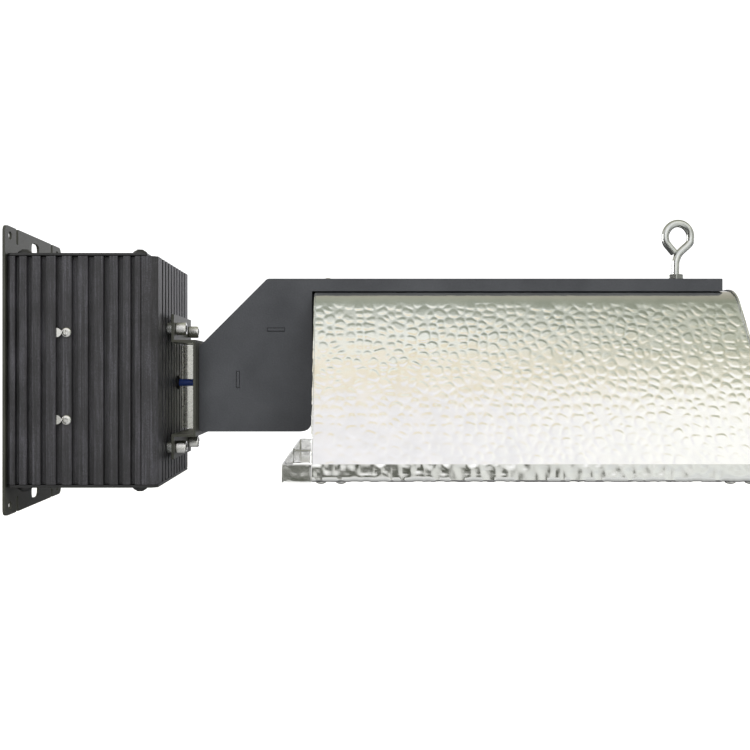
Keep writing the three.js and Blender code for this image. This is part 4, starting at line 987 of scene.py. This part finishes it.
def make_dial():
    """Fluted knob with a pointer line, turned down from the bottom cap."""
    x, y, _ = middle_of("power_dial")
    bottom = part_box("power_dial")[0].z
    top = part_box("ballast_bottom_cap")[0].z - 0.6 * MM
    radius, flutes = 11 * MM, 20

    def grip(angle):
        return radius - 0.55 * MM * (0.5 - 0.5 * math.cos(flutes * angle)) ** 2

    height = top - bottom
    rings = [(2.9 * MM, -12 * MM), (3.0 * MM, -0.5 * MM), (3.0 * MM, 0.2 * MM),
             (radius - 0.2 * MM, 0.2 * MM), (radius, 0.6 * MM), (radius, 1.6 * MM),
             (grip, 2.2 * MM), (grip, height - 1.6 * MM), (radius - 1.2 * MM, height - 0.5 * MM),
             (radius - 2.0 * MM, height), (radius - 3.2 * MM, height),
             (radius - 3.6 * MM, height - 0.4 * MM), (0.1 * MM, height - 0.5 * MM)]
    mesh = turned("dial_knob", rings, (x, y, top), (0, 0, -1), sides=160)
    link(mesh, "black_plastic", "power_dial", hides=["power_dial"])
    marker = [(0.1 * MM, 0.0), (0.55 * MM, 0.05 * MM), (0.6 * MM, 3.2 * MM), (0.1 * MM, 3.25 * MM)]
    mesh = turned("dial_pointer", marker, (x, y + 3.4 * MM, bottom + 0.35 * MM), (0, 1, 0), sides=24)
    link(mesh, "ceramic", "power_dial")


make_wiring()
make_dial()

# ---------------- CAD pieces


def finish(node, slot, bevel):
    """Gives a CAD piece its finish and, where it has a bevel, breaks its sharp edges."""
    obj = frame["nodes"][node]
    obj.data.materials.clear()
    obj.data.materials.append(FINISHES[slot])
    if bevel:
        weld = obj.modifiers.new("weld", "WELD")
        weld.merge_threshold = 0.01 * MM
        edge = obj.modifiers.new("edges", "BEVEL")
        edge.width = bevel
        edge.segments = 2
        edge.limit_method = "ANGLE"
        edge.angle_limit = math.radians(35)
        edge.harden_normals = True


BEVELS = [  # widths in millimetres
    (0.12, ("left_contact", "right_contact")),
    (0.3, ("mounting_plate", "end_bracket", "gap_shield", "arm_housing", "arm_cover",
           "left_holder_bracket", "right_holder_box", "control_port")),
    (0.4, ("ballast_top_cap", "ballast_bottom_cap", "power_inlet")),
    (0.45, ("ballast_front_shell", "ballast_rear_shell")),
    (0.5, ("terminal_block",)),
    (0.6, ("left_lamp_holder", "right_lamp_holder")),
]
bevel_of = {node: width * MM for width, nodes in BEVELS for node in nodes}
for row in frame["record"]["subparts"]:
    finish(row["node"], row["material_slot"], bevel_of.get(row["node"], 0.0))

# ---------------- camera, light and floor


def make_camera():
    """Level, looking along +Y from in front of the left end of the reflector."""
    data = bpy.data.cameras.new("camera")
    data.sensor_width = 36
    data.lens = 44.02
    data.shift_x = 0.04
    data.shift_y = -0.00267
    camera = bpy.data.objects.new("camera", data)
    camera.location = (0.2575, -0.757, -0.002)
    camera.rotation_euler = (math.radians(90), 0, 0)
    bpy.context.scene.collection.objects.link(camera)
    bpy.context.scene.camera = camera


def make_world():
    """A white studio as the metal and paint see it: bright in front above eye level, a warm
    grey ceiling, a pale wall and floor, and a dark camera side. The camera itself sees plain
    white."""
    world = bpy.data.worlds.new("studio")
    world.use_nodes = True
    bpy.context.scene.world = world
    world.node_tree.nodes.clear()
    t = Tree(world.node_tree)
    way = t.add("ShaderNodeTexCoord").outputs["Generated"]
    axes = t.add("ShaderNodeSeparateXYZ", {"Vector": way})
    forward = t.math("MULTIPLY", axes.outputs["Y"], -1.0)
    turn = t.math("ARCTAN2", axes.outputs["Z"], forward)  # 0 in front, 90 overhead, 180 behind
    whole = t.range(turn, -math.pi, math.pi)

    # (angle, colour) round the room, as seen by the left and by the right part of the lamp
    low_behind = [(-180, (1.0, 1.0, 1.05)), (-177, (0.95, 0.95, 1.0)), (-175, (0.25, 0.25, 0.25)),
                  (-172.5, (0.02, 0.02, 0.02)), (-150, (0.04, 0.04, 0.04)), (-120, (0.25, 0.25, 0.25))]
    high_behind = [(150, (0.5, 0.48, 0.42)), (162, (1.1, 1.1, 1.15)), (180, (1.1, 1.1, 1.15))]
    left = [(-60, (0.6, 0.61, 0.6)), (-32, (0.8, 0.8, 0.8)), (-14, (0.7, 0.7, 0.66)),
            (-4, (0.7, 0.7, 0.66)), (2, (0.85, 0.85, 0.83)), (8, (1.25, 1.25, 1.27)),
            (24, (1.25, 1.25, 1.27)), (38, (0.97, 0.96, 1.0)), (58.5, (0.93, 0.91, 0.93)),
            (59.8, (0.9, 0.77, 0.5)), (62.6, (0.9, 0.77, 0.5)), (64, (0.97, 0.98, 0.93)),
            (69.1, (1.04, 1.06, 1.03)), (70.7, (0.33, 0.36, 0.3)), (88, (0.36, 0.38, 0.31)),
            (112, (0.4, 0.39, 0.32))]
    right = [(-60, (0.6, 0.61, 0.6)), (-30, (0.8, 0.81, 0.8)), (-14, (0.75, 0.77, 0.76)),
             (-7, (0.9, 0.92, 0.88)), (2, (0.75, 0.76, 0.72)), (22, (0.75, 0.76, 0.72)),
             (38, (1.12, 1.12, 1.08)), (57, (1.15, 1.14, 1.1)), (60.5, (1.0, 0.97, 0.82)),
             (62.6, (0.42, 0.41, 0.28)), (66.5, (0.3, 0.32, 0.23)), (68.3, (0.8, 0.83, 0.72)),
             (69.5, (0.8, 0.83, 0.72)), (71, (0.28, 0.3, 0.23)), (84, (0.28, 0.3, 0.23)),
             (100, (0.36, 0.35, 0.28))]

    def part_of_room(stops):
        stops = low_behind + stops + high_behind
        return t.ramp(whole, [((angle + 180) / 360, rgb(*colour)) for angle, colour in stops])

    room = t.mix(t.range(axes.outputs["X"], 0.1, 0.42), part_of_room(left), part_of_room(right))

    def near(value, middle, inner, outer):
        """1 within inner of the middle and 0 beyond outer."""
        return t.range(t.math("ABSOLUTE", t.math("SUBTRACT", value, middle)), inner, outer, 1.0, 0.0)

    curtain = rgb(0.05, 0.05, 0.045)
    zones = [  # angle and sideways place, each as middle, inner and outer reach, then the colour
        ((-9, 4.5, 8), (-0.06, 0.14, 0.24), rgb(0.07, 0.075, 0.055)),  # the camera's side
        ((171, 3, 5), (-0.1, 0.12, 0.18), rgb(0.4, 0.39, 0.33)),  # wall behind
        ((-32, 22, 30), (-0.45, 0.2, 0.3), grey(0.1)),  # floor on the left
        ((0, 35, 50), (-0.85, 0.17, 0.289), curtain),
        ((0, 35, 50), (0.84, 0.07, 0.119), curtain),
    ]
    for angles, across, colour in zones:
        inside = t.math("MULTIPLY", near(turn, *np.radians(angles)), near(axes.outputs["X"], *across))
        room = t.mix(inside, room, colour)
    studio = t.add("ShaderNodeBackground", {"Color": room, "Strength": 1.0})
    plain = t.add("ShaderNodeBackground", {"Color": grey(1.0), "Strength": 1.3})
    seen = t.add("ShaderNodeLightPath").outputs["Is Camera Ray"]
    shown = t.add("ShaderNodeMixShader", {0: seen, 1: studio.outputs[0], 2: plain.outputs[0]})
    out = t.add("ShaderNodeOutputWorld")
    t.tree.links.new(shown.outputs[0], out.inputs["Surface"])


def light_at(name, place, target, size, power, glossy=True):
    """A soft square light that points at a target."""
    data = bpy.data.lights.new(name, "AREA")
    data.shape = "SQUARE"
    data.size = size
    data.energy = power
    light = bpy.data.objects.new(name, data)
    light.location = place
    light.rotation_euler = (Vector(target) - Vector(place)).to_track_quat("-Z", "Y").to_euler()
    light.visible_glossy = glossy
    bpy.context.scene.collection.objects.link(light)


def make_floor():
    """A pale floor, well below the lamp, which hangs in the air."""
    half, level = 12.0, -1.1
    mesh = bpy.data.meshes.new("floor")
    corners = [(-half, -half, level), (half, -half, level), (half, half, level), (-half, half, level)]
    mesh.from_pydata(corners, [], [(0, 1, 2, 3)])
    floor = bpy.data.objects.new("floor", mesh)
    bpy.context.scene.collection.objects.link(floor)
    m = Material("floor_paint", Roughness=0.9, Emission_Color=grey(1.0), Emission_Strength=0.75)
    cloud = m.noise(m.place, 0.7, detail=3)
    m.set("Base Color", m.mix(cloud, grey(0.9), grey(0.94)))
    mesh.materials.append(m.data)
    floor.visible_diffuse = False
    floor.visible_glossy = False


make_camera()
make_world()
make_floor()
lamp_middle = (0.3, 0, 0)
ballast_middle = (0.05, 0, 0)
light_at("key", (1.3, -1.2, 1.5), lamp_middle, 1.2, 30, glossy=False)
light_at("fill", (-0.6, -1.6, 0.5), lamp_middle, 1.4, 9, glossy=False)
light_at("edge", (-1.6, 0.3, 0.3), ballast_middle, 0.9, 20)
bpy.context.scene.view_settings.view_transform = "Standard"
